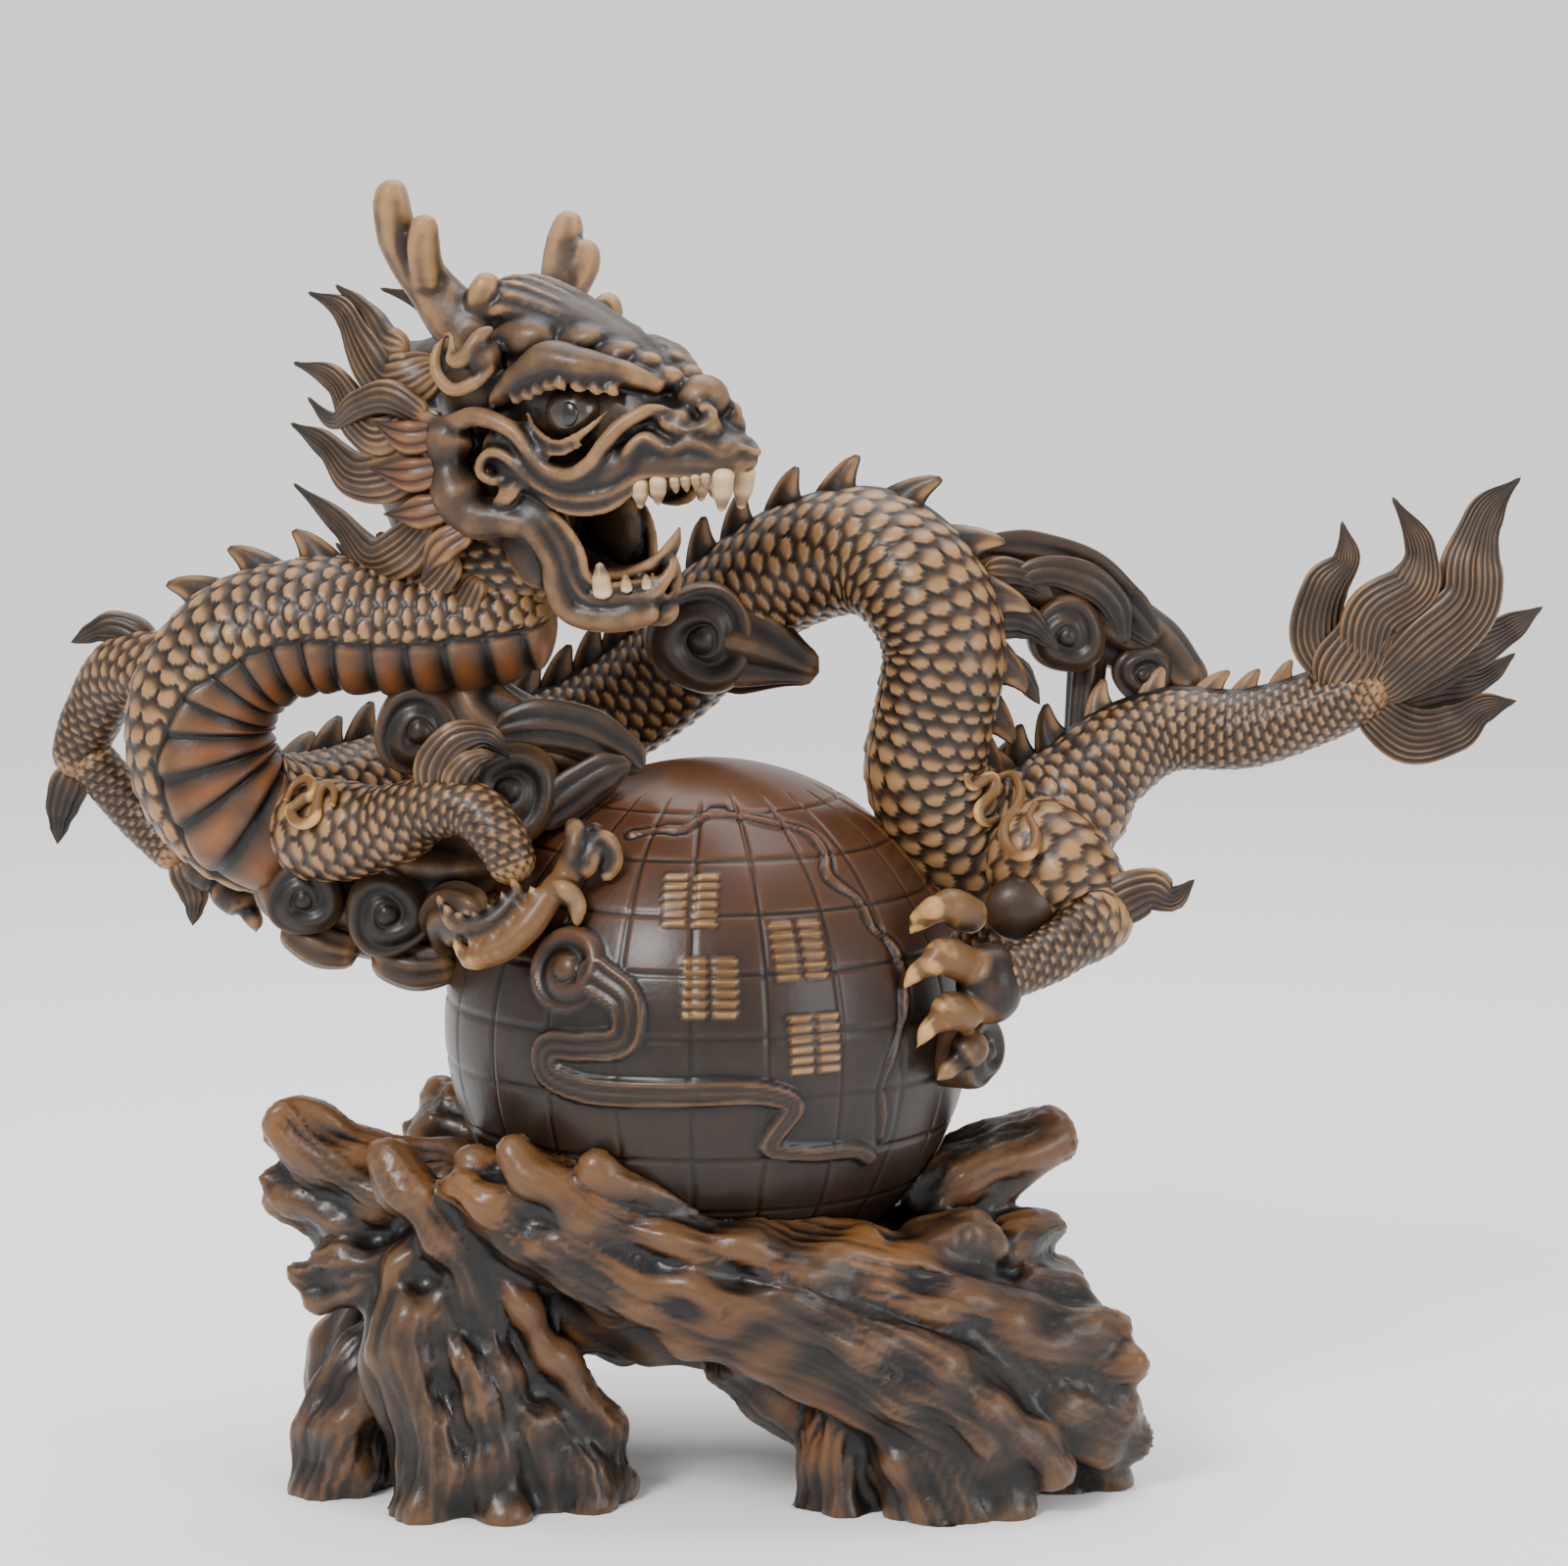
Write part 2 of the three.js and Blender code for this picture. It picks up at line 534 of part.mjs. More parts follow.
// ---- the root-wood stand ----
// Each root is a path and its half thickness along it.
const ROOTS = [
  // the log across the front, under the globe: its lower and its upper half
  { path: [[-92, -58, -44], [-62, -66, -58], [-20, -68, -76], [24, -68, -90], [64, -66, -112],
    [94, -62, -134], [104, -58, -162]], r: [12, 21, 25, 26, 26, 24, 22] },
  { path: [[-70, -64, -36], [-20, -68, -60], [30, -66, -76], [76, -58, -88], [122, -46, -106],
    [152, -38, -113]], r: [11, 18, 20, 20, 17, 14] },
  // broken branches on the left
  { path: [[-90, -34, -62], [-128, -34, -46], [-154, -34, -27]], r: [21, 15, 11] },
  { path: [[-92, -30, -76], [-158, -26, -53]], r: [18, 9] },
  { path: [[-90, -44, -80], [-142, -38, -84]], r: [20, 12] },
  { path: [[-70, 20, -60], [-106, 14, -34]], r: [26, 15] },
  // left feet
  { path: [[-84, -42, -66], [-102, -52, -100], [-95, -56, -132], [-90, -58, -172]], r: [26, 20, 20, 24] },
  { path: [[-80, -48, -66], [-74, -50, -104], [-60, -50, -134], [-52, -50, -172]], r: [22, 20, 21, 22] },
  { path: [[-94, -28, -104], [-124, -32, -130], [-133, -34, -172]], r: [20, 17, 20] },
  { path: [[-86, -6, -76], [-128, -8, -122], [-124, -4, -172]], r: [26, 15, 18] },
  { path: [[-60, 6, -96], [-16, 6, -104]], r: [32, 18] },
  { path: [[-56, 36, -80], [-76, 56, -126], [-84, 62, -172]], r: [32, 24, 28] },
  // broken branches on the right
  { path: [[70, -10, -68], [100, -8, -52], [130, 2, -41]], r: [24, 16, 12] },
  { path: [[80, -28, -86], [130, -14, -72]], r: [24, 6] },
  { path: [[90, -28, -98], [138, -22, -102]], r: [26, 15] },
  { path: [[84, -48, -108], [126, -44, -132], [150, -34, -144]], r: [26, 19, 16] },
  // right feet
  { path: [[96, -28, -118], [140, -22, -172]], r: [30, 19] },
  { path: [[62, -46, -100], [44, -50, -132], [44, -50, -172]], r: [26, 14, 16] },
  { path: [[60, 36, -84], [88, 58, -130], [96, 60, -172]], r: [32, 24, 28] },
];

function stand() {
  const roots = ROOTS.map(({ path, r }, k) =>
    stroke(path, r, {
      sides: 5,
      rings: path.length === 2 ? 2 : path.length,
      gnarl: (t, angle) => 1 + GNARL * Math.sin(3 * angle + 5 * t + k),
    }),
  );
  const saddle = lump([0, -4, -92], [112, 62, 30], { columns: 12, rows: 6 });
  const CUT = 100; // depth of the slab that trims the feet flat
  const slab = new THREE.BoxGeometry(600, 400, CUT).translate(0, 0, FLOOR_Z - CUT / 2);
  return join([...roots, saddle]).subtract(solid(slab));
}

// ---- assembly ----
function toMesh(name, body, material) {
  const made = body.getMesh();
  const geometry = new THREE.BufferGeometry();
  geometry.setAttribute("position", new THREE.BufferAttribute(made.vertProperties, 3));
  geometry.setIndex(new THREE.BufferAttribute(made.triVerts, 1));
  geometry.computeVertexNormals();
  const mesh = new THREE.Mesh(geometry, material);
  mesh.name = name;
  return mesh;
}

const globeSolid = globe();
const bed = globe(SEAT_GAP);
const standSolid = stand().subtract(bed);
const dragonSolid = join([
  dragonBody(),
  neck(),
  ...nearForeleg(),
  ...farForeleg(),
  ...nearHindLeg(),
  ...farHindLeg(),
  ...skull(),
  ...face(),
  ...lowerJaw(),
  ...teeth(),
  ...horns(),
  ...mane(),
  ...tailFlames(),
  ...bodyFlames(),
  ...backClouds(),
  ...frontClouds(),
  ...archCloud(),
  ...hindCloud(),
]).subtract(bed);

const dragonSculpture = new THREE.Group();
dragonSculpture.add(
  toMesh("dragon", dragonSolid, dragonMaterial),
  toMesh("globe", globeSolid, globeMaterial),
  toMesh("root_stand", standSolid, rootMaterial),
);
const box = new THREE.Box3().setFromObject(dragonSculpture);
dragonSculpture.position.set(-(box.min.x + box.max.x) / 2, -(box.min.y + box.max.y) / 2, -box.min.z);

export default dragonSculpture;
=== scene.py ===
# %% [markdown]
# # A cast dragon on a globe
# The object is a display piece, taken to be cast resin: a dragon coils over a globe, and the globe sits in
# a stand in the look of gnarled tree roots. The frame holds three plain solids, at a size that is a guess.
# This lesson gives each of them its carving and its antique brown finish. Lengths are in millimetres from
# the globe's centre, because every form is laid out around that ball, and they turn into metres when a mesh
# is made.

import bpy
import numpy as np
from mathutils import Matrix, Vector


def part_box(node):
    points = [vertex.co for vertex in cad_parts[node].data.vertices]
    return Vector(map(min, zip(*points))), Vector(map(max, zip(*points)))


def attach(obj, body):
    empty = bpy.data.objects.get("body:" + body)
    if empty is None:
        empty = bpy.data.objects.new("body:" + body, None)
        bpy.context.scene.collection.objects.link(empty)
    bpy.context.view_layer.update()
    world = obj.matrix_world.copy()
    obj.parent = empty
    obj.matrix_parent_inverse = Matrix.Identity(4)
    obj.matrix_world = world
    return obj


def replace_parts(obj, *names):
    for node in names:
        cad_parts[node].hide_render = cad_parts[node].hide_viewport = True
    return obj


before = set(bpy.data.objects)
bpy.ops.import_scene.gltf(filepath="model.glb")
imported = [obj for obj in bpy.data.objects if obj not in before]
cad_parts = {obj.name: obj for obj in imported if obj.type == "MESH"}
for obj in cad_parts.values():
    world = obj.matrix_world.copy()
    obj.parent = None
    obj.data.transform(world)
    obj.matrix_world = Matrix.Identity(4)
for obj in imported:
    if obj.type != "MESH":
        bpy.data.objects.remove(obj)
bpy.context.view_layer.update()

low, high = [np.array(corner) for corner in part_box("globe")]
MM = 0.001
GLOBE_RADIUS = (high[0] - low[0]) / 2 / MM
CENTRE = np.array([(low[0] + high[0]) / 2, high[1] - GLOBE_RADIUS * MM, (low[2] + high[2]) / 2])
FLOOR = -CENTRE[2] / MM
print(f"globe radius {GLOBE_RADIUS:.1f} mm, its centre at {CENTRE.round(4)}, floor at {FLOOR:.0f} mm")

# %% [markdown]
# ## Meshes from arrays
# A carved casting is one skin, so each piece is worked out as whole arrays of points. A shape here is a
# pair: its points, and its faces as rows of four point numbers, where a triangle repeats its last number.


# %% Shapes and meshes
def join(shapes):
    """One shape from several: points are stacked, and each shape's faces are shifted past those before."""
    points, faces, count = [], [], 0
    for p, f in shapes:
        points.append(p)
        faces.append(f + count)
        count += len(p)
    return np.vstack(points), np.vstack(faces)


def grid_faces(rows, columns, wrap=True):
    """The quads of a rows by columns grid of points. With wrap, the last column meets the first."""
    i, j = np.meshgrid(np.arange(rows - 1), np.arange(columns if wrap else columns - 1), indexing="ij")
    k = (j + 1) % columns
    quads = np.stack([i * columns + j, (i + 1) * columns + j, (i + 1) * columns + k, i * columns + k],
                     axis=-1)
    return quads.reshape(-1, 4)


def fill_mesh(mesh, points, faces):
    """Puts points and faces into a mesh. A face whose last two numbers agree becomes a triangle."""
    sides = np.where(faces[:, 2] == faces[:, 3], 3, 4)
    corners = faces[np.arange(4)[None, :] < sides[:, None]]
    mesh.vertices.add(len(points))
    mesh.vertices.foreach_set("co", np.ascontiguousarray(points, dtype=np.float32).ravel())
    mesh.loops.add(len(corners))
    mesh.loops.foreach_set("vertex_index", corners.astype(np.int32))
    mesh.polygons.add(len(faces))
    starts = np.concatenate([[0], np.cumsum(sides)[:-1]])
    mesh.polygons.foreach_set("loop_start", starts.astype(np.int32))
    mesh.polygons.foreach_set("use_smooth", np.ones(len(faces), dtype=bool))
    mesh.update(calc_edges=True)
    mesh.validate()


def neighbours(faces, count):
    """The two ends of every edge, each way, and how many edges meet at each point."""
    pairs = np.vstack([faces[:, [0, 1]], faces[:, [1, 2]], faces[:, [2, 3]], faces[:, [3, 0]]])
    pairs = pairs[pairs[:, 0] != pairs[:, 1]]
    pairs = np.unique(np.sort(pairs, axis=1), axis=0)
    ends = np.vstack([pairs, pairs[:, ::-1]])
    return ends, np.maximum(np.bincount(ends[:, 0], minlength=count), 1)


def relax(values, ends, valence, steps, amount=0.6):
    """Moves each point's value towards the mean of its neighbours' values, steps times."""
    for _ in range(steps):
        total = np.stack(
            [np.bincount(ends[:, 0], values[ends[:, 1], k], len(values)) for k in range(values.shape[1])],
            axis=1
        )
        values = values + amount * (total / valence[:, None] - values)
    return values


def point_normals(points, faces):
    """Unit normals: the sum over a point's faces of the cross product of the face's diagonals."""
    cross = np.cross(points[faces[:, 2]] - points[faces[:, 0]], points[faces[:, 3]] - points[faces[:, 1]])
    flat = faces[:, 2] == faces[:, 3]
    a, b, c = points[faces[:, 0]], points[faces[:, 1]], points[faces[:, 2]]
    cross[flat] = np.cross(b - a, c - a)[flat]
    total = np.stack(
        [sum(np.bincount(faces[:, n], cross[:, k], len(points)) for n in range(4)) for k in range(3)], axis=1
    )
    return total / np.maximum(np.linalg.norm(total, axis=1, keepdims=True), 1e-9)


# %% [markdown]
# ## Where the finish has worn
# The maker brushes the casting dark, then rubs a lighter brown over it, which catches only what stands
# proud. The same thing can be read off the mesh: a point that stands out from the smoothed surface around
# it is rubbed, and a point that lies below it stays dark. Two scales are added, one for scales and strands
# and one for folds and limbs, and the sum is kept on the mesh as the attribute `rub`, from 0 in a crevice
# to 1 on a crest.

# %% The rub attribute and finished pieces
FINE, COARSE = 3, 26  # smoothing steps for the two scales


def evened(rise):
    """A height made independent of size, kept in -1 to 1: the middle value becomes 0, and the value that a
    tenth of the points pass becomes the hyperbolic tangent of 1."""
    middle = np.median(rise)
    return np.tanh((rise - middle) / max(np.percentile(rise, 90) - middle, 1e-3))


def rub_of(points, faces):
    """0.48 plus shares of the heights above a lightly and a strongly smoothed surface, kept in 0 to 1."""
    ends, valence = neighbours(faces, len(points))
    normal = point_normals(points, faces)
    fine = relax(points, ends, valence, FINE)
    coarse = relax(fine, ends, valence, COARSE - FINE)
    rise_fine = evened(np.sum((points - fine) * normal, axis=1))
    rise_coarse = evened(np.sum((points - coarse) * normal, axis=1))
    return np.clip(0.48 + 0.17 * rise_fine + 0.25 * rise_coarse, 0, 1)


def make_piece(name, shape, material, extra=None, carving_and_shade=0):
    """Turns a shape in millimetres into a named piece of the sculpture, with its rub attribute. The last
    argument is added to the rub: the height of a carving where it is already known, an even lift of a
    whole piece, and for the clouds an even drop that is a painted shade."""
    points, faces = shape
    mesh = bpy.data.meshes.new(name)
    fill_mesh(mesh, points * MM + CENTRE, faces)
    masks = dict(extra or {})
    if "rub" not in masks:
        masks["rub"] = np.clip(rub_of(points, faces) + carving_and_shade, 0, 1)
    for key, values in masks.items():
        mesh.attributes.new(key, "FLOAT", "POINT").data.foreach_set("value", values.astype(np.float32))
    mesh.materials.append(material)
    piece = bpy.data.objects.new(name, mesh)
    bpy.context.scene.collection.objects.link(piece)
    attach(piece, "root")
    triangles = int(np.where(faces[:, 2] == faces[:, 3], 1, 2).sum())
    print(f"{name}: {len(points)} points, {triangles} triangles")
    return piece


# %% [markdown]
# ## Strokes
# Nearly everything on the dragon is a long form that tapers and bends: its body, legs, horns, locks of hair
# and rolls of lip. So the main tool is a section carried along a smooth path.


# %% Paths and strokes
def smooth_path(points, spacing):
    """A centripetal Catmull-Rom curve through the points, as steps of equal length.
    Returns the places, each place's number along the list of points, and its distance from the start."""
    p = np.array(points, dtype=float)
    p = np.vstack([2 * p[0] - p[1], p, 2 * p[-1] - p[-2]])
    gap = np.maximum(np.linalg.norm(np.diff(p, axis=0), axis=1) ** 0.5, 1e-3)
    d0, d1, d2 = gap[:-2, None, None], gap[1:-1, None, None], gap[2:, None, None]
    a, b, c, d = p[:-3, None], p[1:-2, None], p[2:-1, None], p[3:, None]
    m1 = ((b - a) / d0 - (c - a) / (d0 + d1) + (c - b) / d1) * d1
    m2 = ((c - b) / d1 - (d - b) / (d1 + d2) + (d - c) / d2) * d1
    t = np.linspace(0, 1, 24, endpoint=False)[None, :, None]
    fine = b + m1 * t + (-3 * b + 3 * c - 2 * m1 - m2) * t**2 + (2 * b - 2 * c + m1 + m2) * t**3
    fine = np.vstack([fine.reshape(-1, 3), p[-2]])
    number = np.linspace(0, len(points) - 1, len(fine))
    length = np.concatenate([[0], np.cumsum(np.linalg.norm(np.diff(fine, axis=0), axis=1))])
    steps = np.linspace(0, length[-1], max(int(length[-1] / spacing) + 1, 4))
    places = np.stack([np.interp(steps, length, fine[:, k]) for k in range(3)], axis=1)
    return places, np.interp(steps, length, number), steps


def eased(values, number, last):
    """A short list of numbers or vectors, eased from one to the next at each place's number."""
    v = np.array(values, dtype=float)
    if v.ndim == 0:
        return v
    x = number / last * (len(v) - 1)
    i = np.clip(np.floor(x).astype(int), 0, len(v) - 2)
    f = x - i
    f = f * f * (3 - 2 * f)
    f = f[:, None] if v.ndim == 2 else f
    return v[i] * (1 - f) + v[i + 1] * f


def unit(v):
    return v / np.maximum(np.linalg.norm(v, axis=-1, keepdims=True), 1e-9)


def frames_along(places, face):
    """At each place: the way along, the thin direction (face made square to it), and the way across."""
    along = unit(np.gradient(places, axis=0))
    face = np.broadcast_to(face, places.shape)
    thin = unit(face - np.sum(face * along, axis=1, keepdims=True) * along)
    return along, thin, np.cross(along, thin)


def stroke(points, radius, flat=1.0, face=(0, -1, 0), spacing=1.2, around=28, relief=None, ends=(0.9, 0.9),
           place=None):
    """An oval section carried along a smooth path: place + across r cos a + thin r flat sin a. The radius
    falls as a quarter ellipse over each rounded end, whose length is its share of the radius there.
    relief(distance, angle, radius) is added along the surface's normal. place moves the finished points."""
    path, number, distance = smooth_path(points, spacing)
    last = len(points) - 1
    r = np.broadcast_to(eased(radius, number, last), number.shape).copy()
    ratio = np.broadcast_to(eased(flat, number, last), number.shape)
    way = np.array(face, dtype=float)
    way = eased(way, number, last) if way.ndim == 2 else way
    _, thin, across = frames_along(path, way)
    for share, gone in ((ends[0], distance), (ends[1], distance[-1] - distance)):
        cap = max(share * (r[0] if gone is distance else r[-1]), 1e-3)
        r *= np.sqrt(np.clip(1 - (1 - np.minimum(gone / cap, 1)) ** 2, 0.0, 1))
    r = np.maximum(r, 1e-3)
    angle = np.linspace(0, 2 * np.pi, around, endpoint=False)
    reach = r[:, None] * np.cos(angle), (r * ratio)[:, None] * np.sin(angle)
    points3 = path[:, None] + across[:, None] * reach[0][..., None] + thin[:, None] * reach[1][..., None]
    shape = points3.reshape(-1, 3), grid_faces(len(path), around)
    if relief is not None:
        rise = relief(distance[:, None], angle[None, :], r[:, None]) + np.zeros(reach[0].shape)
        shape = shape[0] + point_normals(*shape) * rise.reshape(-1, 1), shape[1]
    shape = close_ends(shape, len(path), around)
    return shape if place is None else (place(shape[0]), shape[1])


def outward(points, faces):
    """The closed shape with its faces turned to look out, as its signed volume tells."""
    a, b, c, d = (points[faces[:, n]] for n in range(4))
    volume = np.sum(a * (np.cross(b, c) + np.cross(c, d)))
    if volume < 0:
        three = (faces[:, 2] == faces[:, 3])[:, None]
        faces = np.where(three, faces[:, [0, 2, 1, 1]], faces[:, [0, 3, 2, 1]])
    return points, faces


def close_ends(shape, rows, columns):
    """Closes the two open rings of a swept grid with fans to their middles."""
    points, faces = shape
    first, last = np.arange(columns), (rows - 1) * columns + np.arange(columns)
    middles = np.array([points[first].mean(axis=0), points[last].mean(axis=0)])
    n = len(points)
    start = np.stack([np.full(columns, n), first, np.roll(first, -1), np.roll(first, -1)], axis=1)
    end = np.stack([np.full(columns, n + 1), np.roll(last, -1), last, last], axis=1)
    return outward(np.vstack([points, middles]), np.vstack([faces, start, end]))


def ball(centre, radii, place=None, rows=24, columns=36):
    """An ellipsoid: latitude rows times longitude columns."""
    b, a = np.meshgrid(np.linspace(-np.pi / 2, np.pi / 2, rows)[1:-1],
                       np.linspace(0, 2 * np.pi, columns + 1)[:-1],
                       indexing="ij")
    p = np.stack([np.cos(b) * np.sin(a), np.cos(b) * np.cos(a), np.sin(b)], axis=-1).reshape(-1, 3)
    shape = close_ends((p, grid_faces(rows - 2, columns)), rows - 2, columns)
    points = shape[0] * np.array(radii) + np.array(centre)
    return (points if place is None else place(points)), shape[1]


def near_line(points, line):
    """Distance from each point to a line of places, and how far along the line its nearest place is."""
    best, where, gone = np.full(len(points), 1e9), np.zeros(len(points)), 0.0
    for a, b in zip(line[:-1], line[1:]):
        edge = b - a
        length = np.linalg.norm(edge)
        t = np.clip((points - a) @ edge / length**2, 0, 1)
        d = np.linalg.norm(points - a - t[:, None] * edge, axis=1)
        closer = d < best
        best, where = np.where(closer, d, best), np.where(closer, gone + t * length, where)
        gone += length
    return best, where


def step(x, low_edge, high_edge):
    """Eases from 0 at low_edge to 1 at high_edge."""
    t = np.clip((x - low_edge) / (high_edge - low_edge), 0, 1)
    return t * t * (3 - 2 * t)


# %% [markdown]
# ## Casting many strokes as one skin
# Where muscles, lips and folds run into each other, the strokes have to melt together. A voxel remesh does
# what clay does: it keeps only the outer skin of everything that overlaps. A little smoothing then rounds
# the creases, as a mould would.


# %% Fusing strokes
def fuse(shapes, voxel, smoothing=4):
    """The outer skin of overlapping shapes: a voxel remesh in millimetres, then steps of smoothing."""
    points, faces = join(shapes)
    mesh = bpy.data.meshes.new("clay")
    fill_mesh(mesh, points * MM, faces)
    clay = bpy.data.objects.new("clay", mesh)
    bpy.context.scene.collection.objects.link(clay)
    remesh = clay.modifiers.new("skin", "REMESH")
    remesh.mode = "VOXEL"
    remesh.voxel_size = voxel * MM
    skin = clay.evaluated_get(bpy.context.evaluated_depsgraph_get()).to_mesh()
    points = np.empty(len(skin.vertices) * 3, dtype=np.float32)
    skin.vertices.foreach_get("co", points)
    corners = np.empty(len(skin.loops), dtype=np.int32)
    skin.loops.foreach_get("vertex_index", corners)
    bpy.data.objects.remove(clay)
    bpy.data.meshes.remove(mesh)
    points = points.reshape(-1, 3).astype(float) / MM
    faces = corners.reshape(-1, 4).astype(np.int64)
    ends, valence = neighbours(faces, len(points))
    return relax(points, ends, valence, smoothing), faces


# %% [markdown]
# ## The antique finish
# All three castings share one finish. A ramp runs from the dark wash through the body brown to the rubbed
# highlight, and the mesh's `rub` value picks the place on it. Two noises break the steps up, so that no
# crest is rubbed evenly. `tint` lets a warmer wash show and `gilt` marks what is touched up with gold
# paint.


# %% Nodes and materials
def paint(red, green, blue):
    """A display colour from 0 to 255, as the linear colour that a shader wants."""
    c = np.array([red, green, blue]) / 255
    return (*np.where(c <= 0.04045, c / 12.92, ((c + 0.055) / 1.055) ** 2.4), 1.0)


def add(tree, kind, inputs=None, **settings):
    """A new shader node. Each input is a value, or a socket to link from."""
    made = tree.nodes.new("ShaderNode" + kind)
    for key, value in settings.items():
        setattr(made, key, value)
    for key, value in (inputs or {}).items():
        if isinstance(value, bpy.types.NodeSocket):
            tree.links.new(value, made.inputs[key])
        else:
            made.inputs[key].default_value = value
    return made


def maths(tree, operation, *values):
    return add(tree, "Math", dict(enumerate(values)), operation=operation).outputs[0]


def mixed(tree, factor, a, b, blend_type="MIX"):
    """Colour a where factor is 0 and colour b where it is 1."""
    made = add(tree, "Mix", data_type="RGBA", blend_type=blend_type)
    for socket, value in ((made.inputs[0], factor), (made.inputs[6], a), (made.inputs[7], b)):
        if isinstance(value, bpy.types.NodeSocket):
            tree.links.new(value, socket)
        else:
            socket.default_value = value
    return made.outputs[2]


def mask(tree, name):
    return add(tree, "Attribute", attribute_name=name).outputs["Fac"]


def new_group(name, inputs, outputs):
    """A node group with the given sockets, and its input and output nodes."""
    group = bpy.data.node_groups.new(name, "ShaderNodeTree")
    for label, kind in inputs:
        group.interface.new_socket(label, in_out="INPUT", socket_type=kind)
    for label, kind in outputs:
        group.interface.new_socket(label, in_out="OUTPUT", socket_type=kind)
    return group, group.nodes.new("NodeGroupInput"), group.nodes.new("NodeGroupOutput")


def make_antique():
    """The wash, body and highlight colours by rub, broken up by two noises, as one colour."""
    colours = [(label, "NodeSocketColor") for label in ("Wash", "Body", "Highlight")]
    group, given, result = new_group(
        "antique", [("Rub", "NodeSocketFloat"), *colours],
        [("Color", "NodeSocketColor"), ("Shine", "NodeSocketFloat")]
    )
    place = add(group, "TexCoord").outputs["Object"]
    broad = add(group, "TexNoise", {"Vector": place, "Scale": 26.0, "Detail": 3.0}).outputs[0]
    fine = add(group, "TexNoise", {"Vector": place, "Scale": 210.0, "Detail": 4.0}).outputs[0]
    uneven = maths(group, "ADD", maths(group, "MULTIPLY", broad, 0.3), maths(group, "MULTIPLY", fine, 0.2))
    rub = maths(group, "ADD", given.outputs["Rub"], maths(group, "SUBTRACT", uneven, 0.25))
    lower = add(group, "MapRange", {0: rub, 1: 0.22, 2: 0.62}, interpolation_type="SMOOTHSTEP").outputs[0]
    upper = add(group, "MapRange", {0: rub, 1: 0.56, 2: 1.02}, interpolation_type="SMOOTHSTEP").outputs[0]
    washed = mixed(group, lower, given.outputs["Wash"], given.outputs["Body"])
    group.links.new(mixed(group, upper, washed, given.outputs["Highlight"]), result.inputs["Color"])
    group.links.new(upper, result.inputs["Shine"])
    return group


def make_grain():
    """A faint unevenness of the cast skin, as a normal."""
    group, given, result = new_group("cast_skin", [("Strength", "NodeSocketFloat")],
                                     [("Normal", "NodeSocketVector")])
    place = add(group, "TexCoord").outputs["Object"]
    skin = add(group, "TexNoise", {"Vector": place, "Scale": 420.0, "Detail": 5.0,
                                   "Roughness": 0.6}).outputs[0]
    bump = add(group, "Bump", {"Strength": given.outputs["Strength"], "Distance": 0.0006, "Height": skin})
    group.links.new(bump.outputs[0], result.inputs["Normal"])
    return group


ANTIQUE, CAST_SKIN = make_antique(), make_grain()


def finish_material(name, wash, body, highlight, warm, roughness, skin=0.4, coat=0.12, streaks=False):
    """Principled resin in the antique colours. warm is the wash that shows where tint is 1."""
    material = bpy.data.materials.new(name)
    material.use_nodes = True
    tree = material.node_tree
    tree.nodes.clear()
    rub = mask(tree, "rub")
    if streaks:
        along, around = mask(tree, "along"), mask(tree, "around")
        vector = add(tree, "CombineXYZ",
                     {0: maths(tree, "MULTIPLY", along, 0.035), 1: around, 2: 0.0}).outputs[0]
        streak = add(tree, "TexNoise", {"Vector": vector, "Scale": 0.42, "Detail": 5.0,
                                        "Roughness": 0.62}).outputs[0]
        rub = maths(tree, "ADD", rub, maths(tree, "MULTIPLY", maths(tree, "SUBTRACT", streak, 0.5), 0.45))
    antique = add(tree, "Group", node_tree=ANTIQUE)
    tree.links.new(rub, antique.inputs["Rub"])
    for label, colour in (("Wash", wash), ("Body", body), ("Highlight", highlight)):
        antique.inputs[label].default_value = colour
    stain = mixed(tree, antique.outputs["Shine"], warm, highlight)
    warmth = maths(tree, "MULTIPLY", mask(tree, "tint"),
                   add(tree, "MapRange", {0: rub, 1: 0.25, 2: 0.6}).outputs[0])
    warmed = mixed(tree, warmth, antique.outputs["Color"], stain)
    gold = mixed(tree, antique.outputs["Shine"], paint(104, 72, 38), paint(204, 160, 98))
    colour = mixed(tree, mask(tree, "gilt"), warmed, gold)
    normal = add(tree, "Group", node_tree=CAST_SKIN)
    normal.inputs["Strength"].default_value = skin
    shader = add(tree, "BsdfPrincipled", {
        "Base Color": colour,
        "Roughness": add(tree, "MapRange",
                         {0: antique.outputs["Shine"], 3: roughness + 0.06, 4: roughness}).outputs[0],
        "Normal": normal.outputs[0],
        "Coat Weight": coat,
        "Coat Roughness": 0.2,
        "Specular IOR Level": 0.3,
    })
    add(tree, "OutputMaterial", {"Surface": shader.outputs[0]})
    return material


bronze_brown = finish_material("bronze_brown", paint(15, 10, 6), paint(59, 42, 27), paint(145, 109, 71),
                               paint(108, 62, 28), 0.38)
globe_brown = finish_material("globe_brown", paint(13, 9, 6), paint(42, 29, 19), paint(96, 68, 44),
                              paint(96, 54, 24), 0.32, skin=0.2, coat=0.12)
root_brown = finish_material("root_brown", paint(11, 8, 5), paint(42, 29, 19), paint(96, 68, 42),
                             paint(112, 72, 32), 0.33, skin=0.5, coat=0.22, streaks=True)
eye_brown = finish_material("eye_brown", paint(16, 12, 10), paint(34, 26, 20), paint(60, 46, 34),
                            paint(190, 120, 50), 0.2, skin=0.1, coat=0.6)
tooth_tan = finish_material("tooth_tan", paint(110, 84, 58), paint(176, 148, 112), paint(214, 190, 152),
                            paint(190, 120, 50), 0.35, skin=0.2)
print("materials:", ", ".join(m.name for m in bpy.data.materials))

# %% [markdown]
# ## The body
# The dragon's body is one long stroke. Its section leans so that the back, with its fins, always faces the
# way the table says. From the neck round the first coil the belly shows broad plates, and everything else
# wears scales.

